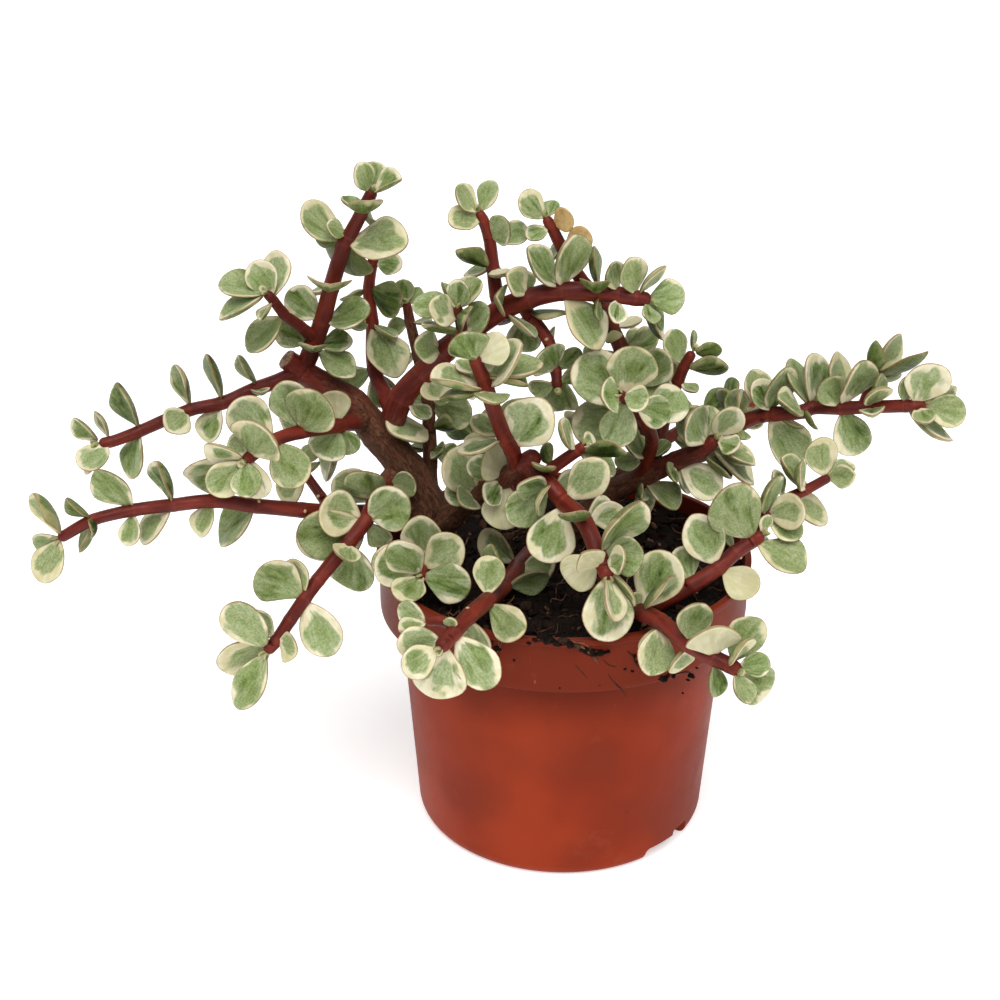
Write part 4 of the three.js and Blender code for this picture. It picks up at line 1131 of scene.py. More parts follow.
def drain_cutters():
    """Slots at the base's edge with a hole into the pot at one end, and round holes in the floor."""
    measures = ("spread", "inner", "height", "corner")
    cutters = []
    for azimuth in DRAIN["slots"]:
        hole = azimuth + (DRAIN["spread"] - DRAIN["hole_spread"]) / 2
        cutters.append(sector(azimuth, *(DRAIN[key] for key in measures)))
        cutters.append(sector(hole, *(DRAIN["hole_" + key] for key in measures)))
    radius = DRAIN["floor_radius"]
    low, high = -DRAIN["below"], DRAIN["floor_reach"]
    profile = np.array(((0, low), (radius, low), (radius, high), (0, high)))
    points, faces = lathed(profile, DRAIN["floor_sides"])
    for angle in circle(DRAIN["floor_holes"]):
        place = (math.sin(angle) * DRAIN["floor_ring"], -math.cos(angle) * DRAIN["floor_ring"], 0)
        cutters.append((points + place, faces))
    return cutters


def hidden_mesh(name, points, faces):
    """An object that is only there while a body is cut."""
    mesh = bpy.data.meshes.new(name)
    mesh.from_pydata((points * MM).tolist(), [], [list(face) for face in faces])
    piece = bpy.data.objects.new(name, mesh)
    bpy.context.scene.collection.objects.link(piece)
    return piece


def cut_body(points, faces, cutters):
    """The body with every cutter taken away, as points in millimetres and faces."""
    body = hidden_mesh("body_to_cut", points, faces)
    tools = [hidden_mesh("cutter", *cutter) for cutter in cutters]
    for tool in tools:
        cut = body.modifiers.new("cut", "BOOLEAN")
        cut.operation = "DIFFERENCE"
        cut.solver = "EXACT"
        cut.object = tool
    evaluated = body.evaluated_get(bpy.context.evaluated_depsgraph_get())
    mesh = bpy.data.meshes.new_from_object(evaluated)
    result = np.array([v.co for v in mesh.vertices]) / MM, [list(p.vertices) for p in mesh.polygons]
    for piece in (*tools, body):
        bpy.data.objects.remove(piece)
    return result


def make_pot():
    """The shell with its drains, a little out of round towards the rim."""
    points, faces = cut_body(*lathed(pot_profile(), POT["sides"]), drain_cutters())
    radius = np.hypot(points[:, 0], points[:, 1])
    wobble = np.array([noise.noise(Vector(p) * POT["wobble_scale"]) for p in points])
    high = np.clip(points[:, 2] / POT["height"], 0, 1)
    shift = wobble * POT["wobble"] * high / np.maximum(radius, 1) * POT["lip_radius"]
    points[:, :2] *= (1 + shift)[:, None]
    build = Build()
    build.add(points, faces)
    return build.finish("pot_shell", pot_look(), "pot", "pot_plastic", sharp=40)


# Soil

def soil_height(x, y):
    """The height of the soil's top at a place, before its fine roughness."""
    inside = np.clip(1 - np.hypot(x, y) / (POT["collar_radius"] - POT["wall"]), 0, 1)
    lump = sum(np.sin(a * x + b * y + phase) for a, b, phase in SOIL["waves"])
    return SOIL["edge"] + inside * (SOIL["crown"] + SOIL["lumps"] * lump)


def make_soil():
    """The bed of peat: rough on top, with its sides against the pot's inside."""
    wall = POT["wall"]
    top_radius = POT["collar_radius"] - wall - SOIL["top_gap"]
    collar_foot = POT["height"] - POT["collar_height"]
    lower, raised = POT["floor"] + SOIL["floor_gap"], POT["raised_floor"] + SOIL["floor_gap"]
    below = (
        (0, lower),
        (POT["raised_radius"] - wall - SOIL["corner_gap"], lower),
        (POT["raised_radius"] + wall - SOIL["floor_gap"], raised),
        (POT["foot_radius"] - wall - SOIL["side_gap"], raised),
        (POT["waist_radius"] - wall - SOIL["side_gap"], collar_foot - SOIL["corner_gap"]),
        (top_radius, collar_foot + POT["step"] + SOIL["floor_gap"]),
        (top_radius, SOIL["edge"] - SOIL["shoulder"]),
    )
    rings = np.linspace(top_radius, 0, SOIL["rings"])
    top = np.stack((rings, np.full(len(rings), SOIL["edge"])), axis=1)
    points, faces = lathed(np.concatenate((below, top)), SOIL["sides"])
    upper = points[:, 2] == SOIL["edge"]
    x, y = points[upper, 0], points[upper, 1]
    rough = [
        sum(noise.noise(Vector((a * scale, b * scale, layer))) * size for scale, layer, size in SOIL["grit"])
        for a, b in zip(x, y)
    ]
    points[upper, 2] = soil_height(x, y) + rough
    build = Build()
    build.add(points, faces, tone=0)
    return build.finish("soil_bed", soil_look(), "soil", "soil")


def ball():
    """A ball of 42 points and radius 1 as points and faces."""
    shape = bmesh.new()
    bmesh.ops.create_icosphere(shape, subdivisions=2, radius=1)
    points = np.array([v.co for v in shape.verts])
    faces = [[v.index for v in face.verts] for face in shape.faces]
    shape.free()
    return points, faces


CRUMB = {
    "shift": 50,  # how far apart crumbs are in the noise that knocks them
    "knocks": ((1.1, 0.75), (3, 0.3)),  # scale and size
    "breadth": (0.55, 0.95),  # share of the length
    "lean": 0.35,
}
FIBRE = {"cuts": 4, "sides": 5, "end": 0.25, "end_turn": 0.12}


def turned_pair(first, second, angle):
    """Two coordinates after a turn from the first towards the second."""
    return (
        first * math.cos(angle) - second * math.sin(angle),
        first * math.sin(angle) + second * math.cos(angle),
    )


def add_crumb(build, unit_ball, place, size, flatness, chance, tone):
    """One crumb of peat or bark: a ball knocked out of shape."""
    points, faces = unit_ball
    shift = chance.uniform(-CRUMB["shift"], CRUMB["shift"], 3)
    knocked = np.array([
        sum((noise.noise(Vector(p * scale + shift)) * knock for scale, knock in CRUMB["knocks"]), 1)
        for p in points
    ])
    shape = points * knocked[:, None] * (1, chance.uniform(*CRUMB["breadth"]), flatness) * size
    turn = chance.uniform(0, 2 * math.pi)
    x, y, z = shape.T
    z, x = turned_pair(z, x, chance.normal(0, CRUMB["lean"]))
    x, y = turned_pair(x, y, turn)
    build.add(np.stack((x, y, z), axis=1) + place, faces, tone=tone)


def add_fibre(build, path, radius, tone):
    """One root fibre: a thin tube that tapers to both ends."""
    at = curve_through(np.array(path, float))
    count = FIBRE["cuts"] * (len(path) - 1) + 1
    centres = np.array([at(i / FIBRE["cuts"]) for i in range(count)])
    _, normals, binormals = outline_frame(centres)
    spokes = spokes_round(normals, binormals, circle(FIBRE["sides"]))
    sweep = np.sin(np.linspace(FIBRE["end_turn"], math.pi - FIBRE["end_turn"], count))
    taper = radius * lerp(FIBRE["end"], 1, sweep)
    points = centres[:, None] + spokes * taper[:, None, None]
    build.add(points.reshape(-1, 3), tube_faces(count, FIBRE["sides"]), tone=tone)


# Materials

def colour(red, green, blue):
    """The linear colour of three eight-bit values."""
    shares = (value / 255 for value in (red, green, blue))
    return (*(((c + 0.055) / 1.055) ** 2.4 for c in shares), 1)


class Look:
    """A material in the making, with short calls for its nodes."""

    def __init__(self, name, **sockets):
        self.material = bpy.data.materials.new(name)
        self.material.use_nodes = True
        self.tree = self.material.node_tree
        self.shader = self.tree.nodes["Principled BSDF"]
        for key, value in sockets.items():
            self.shader.inputs[key.replace("_", " ")].default_value = value

    def node(self, kind, inputs, **settings):
        node = self.tree.nodes.new("ShaderNode" + kind)
        for key, value in settings.items():
            setattr(node, key, value)
        for key, value in inputs.items():
            self.feed(node.inputs[key], value)
        return node

    def feed(self, socket, value):
        if isinstance(value, bpy.types.NodeSocket):
            self.tree.links.new(value, socket)
        else:
            socket.default_value = value

    def value(self, name):
        return self.node("Attribute", {}, attribute_name=name).outputs["Fac"]

    def vector(self, name):
        return self.node("Attribute", {}, attribute_name=name).outputs["Vector"]

    def place(self):
        return self.node("TexCoord", {}).outputs["Object"]

    def split(self, vector):
        return self.node("SeparateXYZ", {0: vector}).outputs

    def math(self, operation, *values):
        return self.node("Math", dict(enumerate(values)), operation=operation).outputs[0]

    def times(self, first, second):
        return self.math("MULTIPLY", first, second)

    def total(self, start, *parts):
        """start and then each part's value times its weight."""
        for value, weight in parts:
            start = self.math("MULTIPLY_ADD", value, weight, start)
        return start

    def scaled(self, vector, scale):
        return self.node("VectorMath", {0: vector, 1: scale}, operation="MULTIPLY").outputs[0]

    def noise(self, vector, scale, detail=2, roughness=0.5, distortion=0):
        inputs = {
            "Vector": vector, "Scale": scale, "Detail": detail,
            "Roughness": roughness, "Distortion": distortion,
        }
        return self.node("TexNoise", inputs).outputs["Fac"]

    def cells(self, vector, scale):
        return self.node("TexVoronoi", {"Vector": vector, "Scale": scale}).outputs["Distance"]

    def smooth(self, value, low, high, start=0, end=1):
        inputs = {"Value": value, "From Min": low, "From Max": high, "To Min": start, "To Max": end}
        return self.node("MapRange", inputs, interpolation_type="SMOOTHSTEP").outputs[0]

    def mix(self, factor, first, second, blend="MIX"):
        """first and second are outputs of nodes, linear colours or colours as three eight-bit values."""
        first, second = (
            colour(*value) if isinstance(value, tuple) and len(value) == 3 else value
            for value in (first, second)
        )
        inputs = {0: factor, 6: first, 7: second}
        return self.node("Mix", inputs, data_type="RGBA", blend_type=blend).outputs[2]

    def finish(self, base, roughness=None, height=None, distance=0.1):
        """distance is the height of the relief in millimetres."""
        self.feed(self.shader.inputs["Base Color"], base)
        if roughness is not None:
            self.feed(self.shader.inputs["Roughness"], roughness)
        if height is not None:
            bump = self.node("Bump", {"Height": height, "Distance": distance * MM, "Strength": 1})
            self.feed(self.shader.inputs["Normal"], bump.outputs[0])
        return self.material


LEAF_COLOURS = {
    "green": ((152, 166, 112), (114, 133, 70)),
    "deep green": (62, 80, 28),
    "haze": ((184, 190, 152), (160, 174, 128)),
    "grain": (188, 202, 160),
    "margin": ((234, 226, 198), (218, 209, 170)),
    "margin streak": (186, 188, 142),
    "veil": (196, 196, 154),
    "dry": ((206, 176, 118), (184, 148, 96)),
    "foot": (140, 80, 60),
    "rim": (160, 108, 84),
    "speck": (74, 66, 40),
    "yellowing": (196, 192, 128),
    "underside and painted shade": (150, 160, 86),
}


def leaf_look():
    """Cream and green: a green middle in streaks and patches, an uneven cream margin, a thin dull red rim."""
    look = Look("leaf", Subsurface_Weight=0.1, Subsurface_Scale=0.0012, IOR=1.42, Specular_IOR_Level=0.28)
    look.shader.inputs["Subsurface Radius"].default_value = (0.8, 1, 0.4)
    tones = LEAF_COLOURS
    blade, fan = (look.vector(name) for name in ("blade", "fan"))
    edge, share, under, pale, dry = (look.value(name) for name in ("edge", "share", "under", "pale", "dry"))
    chances = look.split(look.vector("chances"))

    flames = look.noise(fan, 0.5, 2, 0.5, 0.4)
    streaks = look.noise(fan, 1.3, 3, 0.6, 0.3)
    patches = look.noise(blade, 0.12, 1)
    mottle = look.noise(blade, 0.7, 4, 0.65)
    clouds = look.noise(fan, 0.42, 2, 0.5, 0.6)
    reach = look.total(
        edge, (patches, 1.25), (flames, 0.75), (streaks, 0.2), (mottle, 0.1), (pale, 1.1), (under, -0.14))
    inward = look.math("SUBTRACT", reach, look.total(1.8, (chances[0], 0.4)))
    haze = look.total(clouds, (inward, 0.26), (chances[2], 0.16))
    deep = look.total(0, (mottle, 0.22), (streaks, 0.5), (flames, 0.45), (chances[1], 0.16), (under, 0.1))

    green = look.mix(look.smooth(deep, 0.53, 0.76), *tones["green"])
    green = look.mix(look.smooth(deep, 0.7, 0.88), green, tones["deep green"])
    hazy = look.mix(look.smooth(look.noise(fan, 2, 3, 0.6), 0.38, 0.64), *tones["haze"])
    base = look.mix(look.smooth(haze, 0.33, 0.58, 0, 0.85), green, hazy)
    grainy = look.smooth(look.noise(blade, 1.5, 3, 0.75), 0.4, 0.64, 0, 0.7)
    base = look.mix(grainy, base, tones["grain"], "MULTIPLY")
    margin = look.mix(look.smooth(look.noise(blade, 0.25, 3), 0.35, 0.65), *tones["margin"])
    margin = look.mix(look.smooth(streaks, 0.56, 0.72, 0, 0.4), margin, tones["margin streak"])
    base = look.mix(look.smooth(inward, -0.1, 0.1), base, margin)
    veil = look.smooth(look.noise(fan, 0.9, 3), 0.35, 0.7, 0.15, 0.75)
    base = look.mix(look.times(pale, veil), base, tones["veil"])
    base = look.mix(dry, base, look.mix(look.smooth(mottle, 0.35, 0.65), *tones["dry"]))
    base = look.mix(look.smooth(share, 0.1, 0, 0, 0.6), base, tones["foot"])
    rim = look.smooth(look.total(edge, (look.noise(blade, 0.4, 2), 0.06)), 0.975, 1.025, 0, 0.7)
    base = look.mix(rim, base, tones["rim"])
    specks = look.smooth(look.cells(blade, 0.55), 0.075, 0.03)
    specks = look.times(specks, look.smooth(look.noise(blade, 0.14, 1), 0.52, 0.64, 0, 0.75))
    base = look.mix(specks, base, tones["speck"])
    base = look.mix(look.smooth(chances[2], 0, 1, 0, 0.3), base, tones["yellowing"], "MULTIPLY")
    # Undersides darker: partly their own deeper green, partly painted shade.
    base = look.mix(look.times(under, 0.65), base, tones["underside and painted shade"], "MULTIPLY")

    roughness = look.smooth(mottle, 0.3, 0.7, 0.42, 0.54)
    relief = look.total(look.noise(blade, 3.2, 3, 0.6), (look.noise(fan, 2.6, 3), 0.6))
    return look.finish(base, roughness, relief, 0.12)


STEM_COLOURS = {
    "young": ((86, 23, 15), (124, 41, 26)),
    "young streak": (66, 20, 14),
    "node ring": (142, 66, 42),
    "bark": ((112, 70, 48), (82, 50, 34)),
    "bark streak": (132, 76, 54),
    "flake": (136, 98, 66),
    "crack": (40, 24, 17),
    "leaf scar": (206, 176, 126),
    "cut wood": ((196, 164, 138), (140, 96, 74)),
}


def stem_look():
    """Maroon and smooth where young, brown and cracked where old, with paler rings at the nodes."""
    look = Look("stem", IOR=1.45, Specular_IOR_Level=0.3)
    tones = STEM_COLOURS
    grain = look.vector("grain")
    age, ring, cut, scar = (look.value(name) for name in ("age", "ring", "cut", "scar"))

    long = look.scaled(grain, (1, 1, 0.22))
    blotch = look.noise(long, 0.35, 3, 0.55)
    fine = look.noise(long, 2.2, 4, 0.65)
    young = look.mix(look.smooth(blotch, 0.35, 0.68), *tones["young"])
    young = look.mix(look.smooth(fine, 0.55, 0.8, 0, 0.5), young, tones["young streak"])
    young = look.mix(look.times(ring, 0.2), young, tones["node ring"])
    fibres = look.noise(look.scaled(grain, (1, 1, 0.12)), 3.2, 4, 0.7, 0.6)
    crack = look.smooth(fibres, 0.52, 0.6)
    flakes = look.smooth(look.noise(look.scaled(grain, (1, 1, 0.5)), 0.7, 3, 0.6, 1), 0.5, 0.56)
    bark = look.mix(look.smooth(blotch, 0.32, 0.7), *tones["bark"])
    bark = look.mix(look.smooth(fine, 0.45, 0.75, 0, 0.7), bark, tones["bark streak"])
    bark = look.mix(look.times(flakes, 0.4), bark, tones["flake"])
    bark = look.mix(look.times(crack, 0.6), bark, tones["crack"])
    grown = look.smooth(look.total(age, (look.noise(grain, 0.22, 3), 0.5)), 0.45, 0.85)
    base = look.mix(grown, young, bark)
    base = look.mix(scar, base, tones["leaf scar"])
    wood = look.mix(look.smooth(look.noise(grain, 1.6, 3), 0.35, 0.65), *tones["cut wood"])
    base = look.mix(cut, base, wood)

    roughness = look.smooth(age, 0, 0.8, 0.44, 0.8)
    relief = look.total(0, (fine, 0.8), (crack, -1), (flakes, 0.4))
    relief = look.times(relief, look.smooth(age, 0, 0.7, 0.12, 1))
    return look.finish(base, roughness, relief, 0.35)


POT_COLOURS = {
    "plastic": ((150, 54, 27), (132, 44, 22)),
    "stain and painted shade": (106, 42, 26),
    "collar": (98, 37, 21),
    "under the collar": (76, 28, 17),
    "painted_reflection_band": (116, 38, 20),
    "dust": (170, 98, 72),
    "scuff": (206, 130, 100),
    "speck": (70, 34, 26),
}
# The body under the collar carries painted shade this far down.
COLLAR_SHADE = 24  # how far down from the collar the body is darker


def pot_look():
    """Satin plastic, uneven in tone, with stains, scuffs, specks and dust, painted shade on and under the
    collar and in blotches, and upright bands of painted reflection.
    """
    look = Look("pot_plastic", Specular_IOR_Level=0.06)
    tones = POT_COLOURS
    place = look.place()
    height = look.split(place)[2]
    foot = (POT["height"] - POT["collar_height"]) * MM
    clouds = look.noise(place, 22, 3)
    base = look.mix(look.smooth(clouds, 0.35, 0.66), *tones["plastic"])
    # Dark blotches in the plastic: partly stains, partly painted shade.
    base = look.mix(look.smooth(look.noise(place, 34, 2, 0.4), 0.42, 0.7, 0, 0.45), base, tones["stain and painted shade"])
    # Painted shade on the collar and everything above its foot.
    base = look.mix(look.smooth(height, foot - POT["step"] * MM, foot, 0, 0.75), base, tones["collar"])
    # Painted shade under the collar, fading down the body.
    shade = look.smooth(height, foot - COLLAR_SHADE * MM, foot, 0, 0.6)
    shade = look.times(shade, look.smooth(height, foot, foot - MM))
    base = look.mix(shade, base, tones["under the collar"])
    # Soft dark upright bands down the body: painted reflection.
    painted_reflection_band = look.noise(look.scaled(place, (30, 30, 4)), 1, 3)
    base = look.mix(look.smooth(painted_reflection_band, 0.5, 0.75, 0, 0.3), base, tones["painted_reflection_band"])
    dust = look.noise(place, 60, 5, 0.7)
    base = look.mix(look.smooth(dust, 0.58, 0.8, 0, 0.16), base, tones["dust"])
    scuff = look.noise(look.scaled(place, (500, 500, 60)), 1, 2, 0.5, 1.5)
    scuff = look.times(look.smooth(scuff, 0.7, 0.76), look.smooth(dust, 0.5, 0.62))
    base = look.mix(look.times(scuff, 0.25), base, tones["scuff"])
    specks = look.smooth(look.cells(place, 95), 0.06, 0.03)
    specks = look.times(specks, look.smooth(look.noise(place, 40, 1), 0.56, 0.66))
    base = look.mix(specks, base, tones["speck"])
    roughness = look.smooth(dust, 0.3, 0.7, 0.4, 0.52)
    relief = look.total(look.noise(place, 900), (clouds, 2.5))
    return look.finish(base, roughness, relief, 0.03)


PEAT_COLOURS = {
    "dark": ((12, 9, 7), (33, 22, 16)),
    "patch": (50, 30, 21),
    "light": ((110, 70, 50), (156, 112, 84)),
}


def soil_look():
    """Damp peat, from near black to red brown, and paler for fibres and bark (tone from 0 to 1)."""
    look = Look("peat", Specular_IOR_Level=0.1)
    tones = PEAT_COLOURS
    place = look.place()
    grit = look.noise(place, 700, 4, 0.7)
    dark = look.mix(look.smooth(grit, 0.35, 0.7), *tones["dark"])
    dark = look.mix(look.smooth(look.noise(place, 160, 3, 0.6), 0.52, 0.7, 0, 0.5), dark, tones["patch"])
    light = look.mix(look.smooth(grit, 0.35, 0.65), *tones["light"])
    return look.finish(look.mix(look.value("tone"), dark, light), 0.85, grit, 0.5)


# Crumbs and fibres that the photograph shows on the rim and the collar, as picture places

RIM_CRUMBS = (
    # x, y, size and tone of crumbs that cling to the outside of the collar
    (535, 640, 1.1, 0), (541, 637, 1.5, 0), (549, 640, 1.7, 0), (556, 643, 1.5, 0), (563, 641, 1.6, 0.1),
    (570, 644, 1.8, 0), (577, 646, 1.4, 0.2), (585, 650, 1.3, 0), (592, 652, 1.4, 0), (600, 653, 1.6, 0),
    (607, 652, 1.0, 0), (529, 643, 0.8, 0), (492, 650, 1.6, 0), (496, 656, 1.9, 0), (490, 643, 1.2, 0.1),
    (498, 648, 1.2, 0), (635, 656, 0.9, 0), (638, 662, 0.8, 0), (662, 678, 1.8, 0), (667, 676, 1.3, 0),
    (675, 669, 1.3, 0), (673, 676, 0.9, 0), (691, 676, 1.3, 0), (688, 680, 0.7, 0), (697, 668, 0.5, 0),
    (625, 669, 0.6, 0), (632, 671, 0.5, 0), (560, 688, 0.4, 0), (514, 660, 0.5, 0), (683, 693, 0.4, 0),
)
RIM_FIBRES = (
    # tone, radius and picture places of fibres that lie over the rim and down the collar
    (0.55, 0.35, ((571, 640), (580, 646), (588, 651), (594, 658), (599, 664))),
    (0.7, 0.22, ((566, 637), (574, 642), (585, 644), (590, 650), (593, 655))),
    (0.05, 0.3, ((526, 637), (536, 641), (545, 640), (552, 642))),
    (0.05, 0.28, ((555, 638), (567, 645), (583, 648), (597, 650), (610, 652))),
    (0.05, 0.24, ((560, 646), (572, 644), (588, 655), (603, 656))),
    (0.5, 0.2, ((584, 641), (590, 647), (590, 654), (597, 659))),
    (0.1, 0.24, ((627, 651), (633, 656), (636, 664), (641, 668))),
    (0.85, 0.2, ((497, 636), (499, 643), (496, 651), (493, 660))),
    (0.8, 0.18, ((501, 637), (501, 645), (497, 653), (497, 661))),
    (0.1, 0.2, ((608, 674), (613, 681), (620, 688), (627, 697))),
    (0.2, 0.14, ((575, 664), (580, 670), (588, 679))),
    (0.1, 0.16, ((603, 660), (609, 665), (616, 667))),
    (0.1, 0.2, ((666, 676), (676, 674), (688, 672), (694, 675))),
    (0.9, 0.22, ((668, 618), (672, 622), (679, 626))),
)

LOOSE_EDGE = 2  # how far loose crumbs and fibres keep from the pot's inside
CRUMBS = {
    "count": 950,
    "size": (-0.15, 0.5),  # mean and spread of its logarithm
    "largest": 2.6,
    "raised": 0.3,  # share of the size
    "flatness": (0.3, 0.8),
    "rim_flatness": 0.6,
    "tones": (0, 0.08, 0.25, 0.7),
    "tone_shares": (0.62, 0.22, 0.11, 0.05),
}
RIGHT_PILE = {
    # crumbs heaped against the rim at the right, from and to these picture places
    "from": (694, 628),
    "to": (742, 604),
    "count": 150,
    "spread": 7,
    "scatter": (2, 2, 0),
    "size": (0.7, 2.2),
    "above_rim": 0.5,
    "depth": 3,
    "tones": (0, 0.1, 0.5),
    "tone_shares": (0.7, 0.2, 0.1),
}
FIBRES = {
    "count": 230,
    "points": 5,
    "step": (1.2, 3.2),
    "raised": (0.3, 1.6),
    "bend": 0.6,
    "radius": (0.12, 0.32),
    "tones": (0.1, 0.5, 0.9),
    "tone_shares": (0.5, 0.3, 0.2),
}


def on_level(x, y, height):
    """The point at that height seen at picture place (x, y)."""
    ray = ray_through(x, y)
    return VIEWER + ray * (height - VIEWER[2]) / ray[2]


def on_wall(x, y, radius):
    """The point seen at picture place (x, y) on the front of an upright cylinder round the pot's axis."""
    ray = ray_through(x, y)
    level = ray[:2].dot(ray[:2])
    half = VIEWER[:2].dot(ray[:2])
    rest = VIEWER[:2].dot(VIEWER[:2]) - radius ** 2
    return VIEWER + ray * (-half - math.sqrt(half ** 2 - level * rest)) / level


def on_collar(x, y):
    """The point seen at picture place (x, y) on the pot's outside above the step, or on its rim."""
    place = on_wall(x, y, POT["collar_radius"])
    if place[2] <= POT["height"] - POT["lip_height"]:
        return place
    place = on_wall(x, y, POT["lip_radius"])
    if place[2] <= POT["height"]:
        return place
    return on_level(x, y, POT["height"])


def loose_place(chance):
    """A place anywhere on the soil's round top."""
    radius = (POT["collar_radius"] - POT["wall"] - LOOSE_EDGE) * math.sqrt(chance.uniform(0, 1))
    turn = chance.uniform(0, 2 * math.pi)
    return radius * math.cos(turn), radius * math.sin(turn)


def tone_of(kind, chance):
    """One of the tones of a kind of debris."""
    return chance.choice(kind["tones"], p=kind["tone_shares"])


def make_crumbs(chance):
    """Loose peat, bark and roots on the soil and the rim."""
    build = Build()
    unit_ball = ball()
    inside = POT["collar_radius"] - POT["wall"]
    for _ in range(CRUMBS["count"]):
        x, y = loose_place(chance)
        size = min(chance.lognormal(*CRUMBS["size"]), CRUMBS["largest"])
        tone = tone_of(CRUMBS, chance)
        place = (x, y, soil_height(x, y) + size * CRUMBS["raised"])
        add_crumb(build, unit_ball, place, size, chance.uniform(*CRUMBS["flatness"]), chance, tone)
    start, end = (on_level(*RIGHT_PILE[key], POT["height"]) for key in ("from", "to"))
    for _ in range(RIGHT_PILE["count"]):
        place = lerp(start, end, chance.uniform(0, 1)) + chance.normal(0, 1, 3) * RIGHT_PILE["scatter"]
        size = chance.uniform(*RIGHT_PILE["size"])
        out = inside - size - abs(chance.normal(0, RIGHT_PILE["spread"] / 2))
        place[:2] *= out / math.hypot(place[0], place[1])
        drop = min((inside - out) / RIGHT_PILE["spread"], 1)
        top = lerp(POT["height"] + RIGHT_PILE["above_rim"], SOIL["edge"], drop)
        place[2] = top - chance.uniform(0, RIGHT_PILE["depth"])
        flatness = chance.uniform(*CRUMBS["flatness"])
        tone = tone_of(RIGHT_PILE, chance)
        add_crumb(build, unit_ball, place, size, flatness, chance, tone)
    for x, y, size, tone in RIM_CRUMBS:
        add_crumb(build, unit_ball, on_collar(x, y), size, CRUMBS["rim_flatness"], chance, tone)
    return build.finish("soil_crumbs", soil_look(), "soil", "soil")


def make_fibres(chance):
    """Thin roots that wander over the soil, and those that hang over the rim."""
    build = Build()
    inside = POT["collar_radius"] - POT["wall"] - LOOSE_EDGE
    for _ in range(FIBRES["count"]):
        x, y = loose_place(chance)
        heading = chance.uniform(0, 2 * math.pi)
        step = chance.uniform(*FIBRES["step"])
        path = []
        for _ in range(FIBRES["points"]):
            gap = math.hypot(x, y)
            if gap > inside:
                x, y = x * inside / gap, y * inside / gap
            path.append((x, y, soil_height(x, y) + chance.uniform(*FIBRES["raised"])))
            heading += chance.normal(0, FIBRES["bend"])
            x += step * math.cos(heading)
            y += step * math.sin(heading)
        tone = tone_of(FIBRES, chance)
        add_fibre(build, path, chance.uniform(*FIBRES["radius"]), tone)
    for tone, radius, places in RIM_FIBRES:
        add_fibre(build, [on_collar(x, y) for x, y in places], radius, tone)
    return build.finish("soil_fibres", soil_look(), "soil", "soil")


# Plants

DRY_TIPS = ((574, 213), (592, 236))
PALE_TIPS = (
    (331, 391), (497, 289), (567, 583), (582, 554), (716, 628),
    (758, 592), (608, 313), (642, 323), (477, 463), (506, 341), (502, 530),
)
TIP_REACH = 4  # pixels
BUDLESS = (CUT_SHOOT, "front_trunk")  # cut off, or forked at the tip
BUD = {"length": 3.2, "spread": 0.42, "above": 0.3, "fold": 0.2, "pale": 0.45, "stem_radius": 0.5}
SCAR = {"size": (0.25, 0.62, 0.5), "bare_chance": 0.35}


def near_any(tip, tips):
    """Whether a picture place is one of those in tips."""
    return tip is not None and any(math.dist(tip, other) <= TIP_REACH for other in tips)


def add_buds(shoot):
    """Two small leaves that close over a shoot's tip."""
    points = shoot["points"]
    ahead = unit(points[-1] - points[-2])
    spoke = unit(np.cross(ahead, shoot["leaves"][-1]["along"]))
    for sign in (1, -1):
        along = unit(spoke * sign * BUD["spread"] + ahead)
        shoot["leaves"].append({
            "base": points[-1] + ahead * BUD["above"], "along": along,
            "up": unit(ahead - along * ahead.dot(along) - spoke * sign),
            "length": BUD["length"], "width": BUD["length"] * LEAF["width_ratio"], "fold": BUD["fold"],
            "pale": BUD["pale"], "dry": 0, "stem_radius": BUD["stem_radius"],
        })


def add_scars(build, shoot, unit_ball, chance):
    """Pale marks where a leaf has fallen."""
    points = shoot["points"]
    ball_points, faces = unit_ball
    last = len(points) - 1
    for i in range(1, last):
        held = [leaf["along"] for leaf in shoot["leaves"] if leaf["node"] == i]
        if len(held) == 1:
            spoke = -held[0]
        elif not held and chance.uniform() < SCAR["bare_chance"]:
            spoke = chance.normal(0, 1, 3)
        else:
            continue
        ahead = unit(points[i + 1] - points[i - 1])
        spoke = unit(spoke - ahead * ahead.dot(spoke))
        axes = np.array((spoke, np.cross(ahead, spoke), ahead)) * np.array(SCAR["size"])[:, None]
        radius = lerp(*shoot["thick"], i / last) / 2 * (1 + STEM["swelling"])
        place = points[i] + spoke * radius
        build.add(
            place + ball_points @ axes, faces,
            grain=ball_points + place, age=0, ring=0, cut=0, scar=1)


def mark_leaves(shoot):
    """Tells every leaf how thick its stem is and whether the photograph shows it all cream or dry."""
    for leaf in shoot["leaves"]:
        share = leaf["node"] / (len(shoot["points"]) - 1)
        leaf["stem_radius"] = lerp(*shoot["thick"], share) / 2
        leaf["pale"] = float(near_any(leaf["tip"], PALE_TIPS))
        leaf["dry"] = float(near_any(leaf["tip"], DRY_TIPS))


def make_plants(shoots, chance):
    """Every plant's stems and leaves as two objects."""
    by_name = {shoot["name"]: shoot for shoot in shoots}

    def plant_of(shoot):
        return plant_of(by_name[shoot["parent"]]) if "parent" in shoot else shoot["plant"]

    grid = blade_grid()
    unit_ball = ball()
    leaf_material = leaf_look()
    stem_material = stem_look()
    number = 0
    for plant in dict.fromkeys(plant_of(shoot) for shoot in shoots):
        stems = Build()
        leaves = Build()
        for shoot in shoots:
            if plant_of(shoot) != plant:
                continue
            add_stem(stems, shoot, by_name)
            mark_leaves(shoot)
            add_scars(stems, shoot, unit_ball, chance)
            if shoot["name"] not in BUDLESS and shoot["leaves"]:
                add_buds(shoot)
            for leaf in shoot["leaves"]:
                add_leaf(leaves, leaf, grid, number, chance)
                number += 1
        stems.finish(plant + "_stems", stem_material, plant, "foliage")
        leaves.finish(plant + "_leaves", leaf_material, plant, "foliage")


# Studio

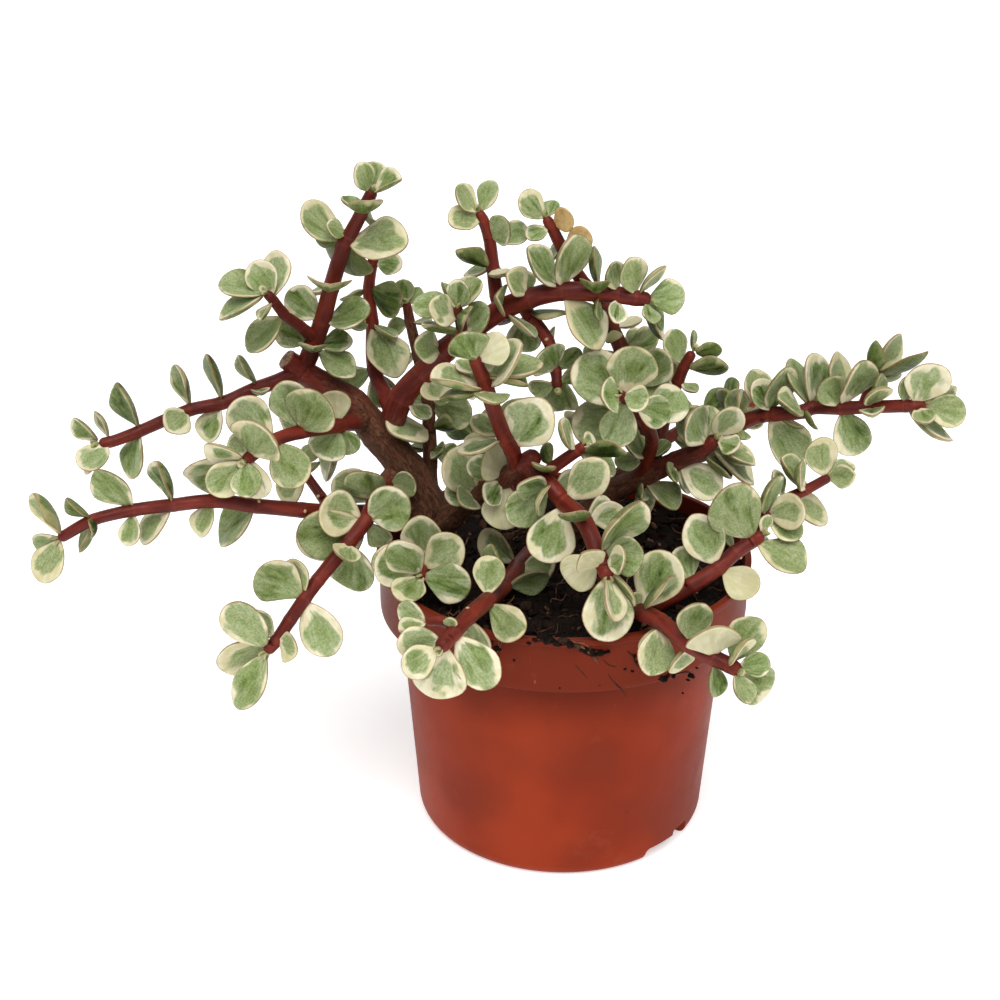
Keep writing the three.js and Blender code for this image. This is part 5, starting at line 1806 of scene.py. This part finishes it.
STUDIO = {
    "floor": 14,  # metres
    "floor_drop": 0.0001,  # metres
    "floor_glow": 0.4,
    "floor_tones": ((0.9, 0.9, 0.9, 1), (0.92, 0.92, 0.91, 1)),
    "lights": (
        # name, direction that it comes from, strength and degrees that the soft source fills
        ("key", (0.02, -0.55, 1), 2.75, 50),
        ("fill", (0.9, -0.7, 0.5), 0.35, 60),
        ("back", (-0.3, 0.9, 0.6), 0.7, 60),
    ),
    "world": 0.26,
}


def add_light(name, direction, strength, angle):
    """A broad far light, as even over the floor as a large softbox."""
    data = bpy.data.lights.new(name, "SUN")
    data.energy = strength
    data.angle = math.radians(angle)
    light = bpy.data.objects.new(name, data)
    light.rotation_euler = Vector(direction).to_track_quat("Z", "Y").to_euler()
    bpy.context.scene.collection.objects.link(light)


def make_floor():
    """A broad white floor with a faint glow, so that it stays white in the shade."""
    half = STUDIO["floor"] / 2
    corners = [(-half, -half, 0), (half, -half, 0), (half, half, 0), (-half, half, 0)]
    mesh = bpy.data.meshes.new("floor")
    mesh.from_pydata(corners, [], [(0, 1, 2, 3)])
    look = Look("floor", Roughness=0.8, Emission_Color=(1, 1, 1, 1), Emission_Strength=STUDIO["floor_glow"])
    tone = look.noise(look.place(), 3)
    mesh.materials.append(look.finish(look.mix(tone, *STUDIO["floor_tones"])))
    floor = bpy.data.objects.new("floor", mesh)
    floor.location.z = -STUDIO["floor_drop"]
    bpy.context.scene.collection.objects.link(floor)


def make_world():
    """White to the camera, and dim as a light."""
    world = bpy.data.worlds.new("world")
    world.use_nodes = True
    tree = world.node_tree
    background = tree.nodes["Background"]
    background.inputs["Color"].default_value = (1, 1, 1, 1)
    path = tree.nodes.new("ShaderNodeLightPath")
    strength = tree.nodes.new("ShaderNodeMapRange")
    strength.inputs["To Min"].default_value = STUDIO["world"]
    tree.links.new(path.outputs["Is Camera Ray"], strength.inputs["Value"])
    tree.links.new(strength.outputs[0], background.inputs["Strength"])
    bpy.context.scene.world = world
    bpy.context.scene.view_settings.view_transform = "Standard"


def make_camera():
    """The photograph's own camera."""
    data = bpy.data.cameras.new("camera")
    data.sensor_width = SENSOR
    data.lens = PHOTO["focal"] / PHOTO["side"] * SENSOR
    camera = bpy.data.objects.new("camera", data)
    camera.location = Vector(VIEWER) * MM
    camera.rotation_euler = Vector(-TO_VIEWER).to_track_quat("-Z", "Y").to_euler()
    bpy.context.scene.collection.objects.link(camera)
    bpy.context.scene.camera = camera


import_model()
make_camera()
make_floor()
for light in STUDIO["lights"]:
    add_light(*light)
make_world()
all_shoots = [grow_seen(shoot) for shoot in SHOOTS] + [grow_back(shoot) for shoot in BACK_SHOOTS]
settle(all_shoots)
random = np.random.default_rng(SEED)
make_pot()
make_soil()
make_crumbs(random)
make_fibres(random)
make_plants(all_shoots, random)
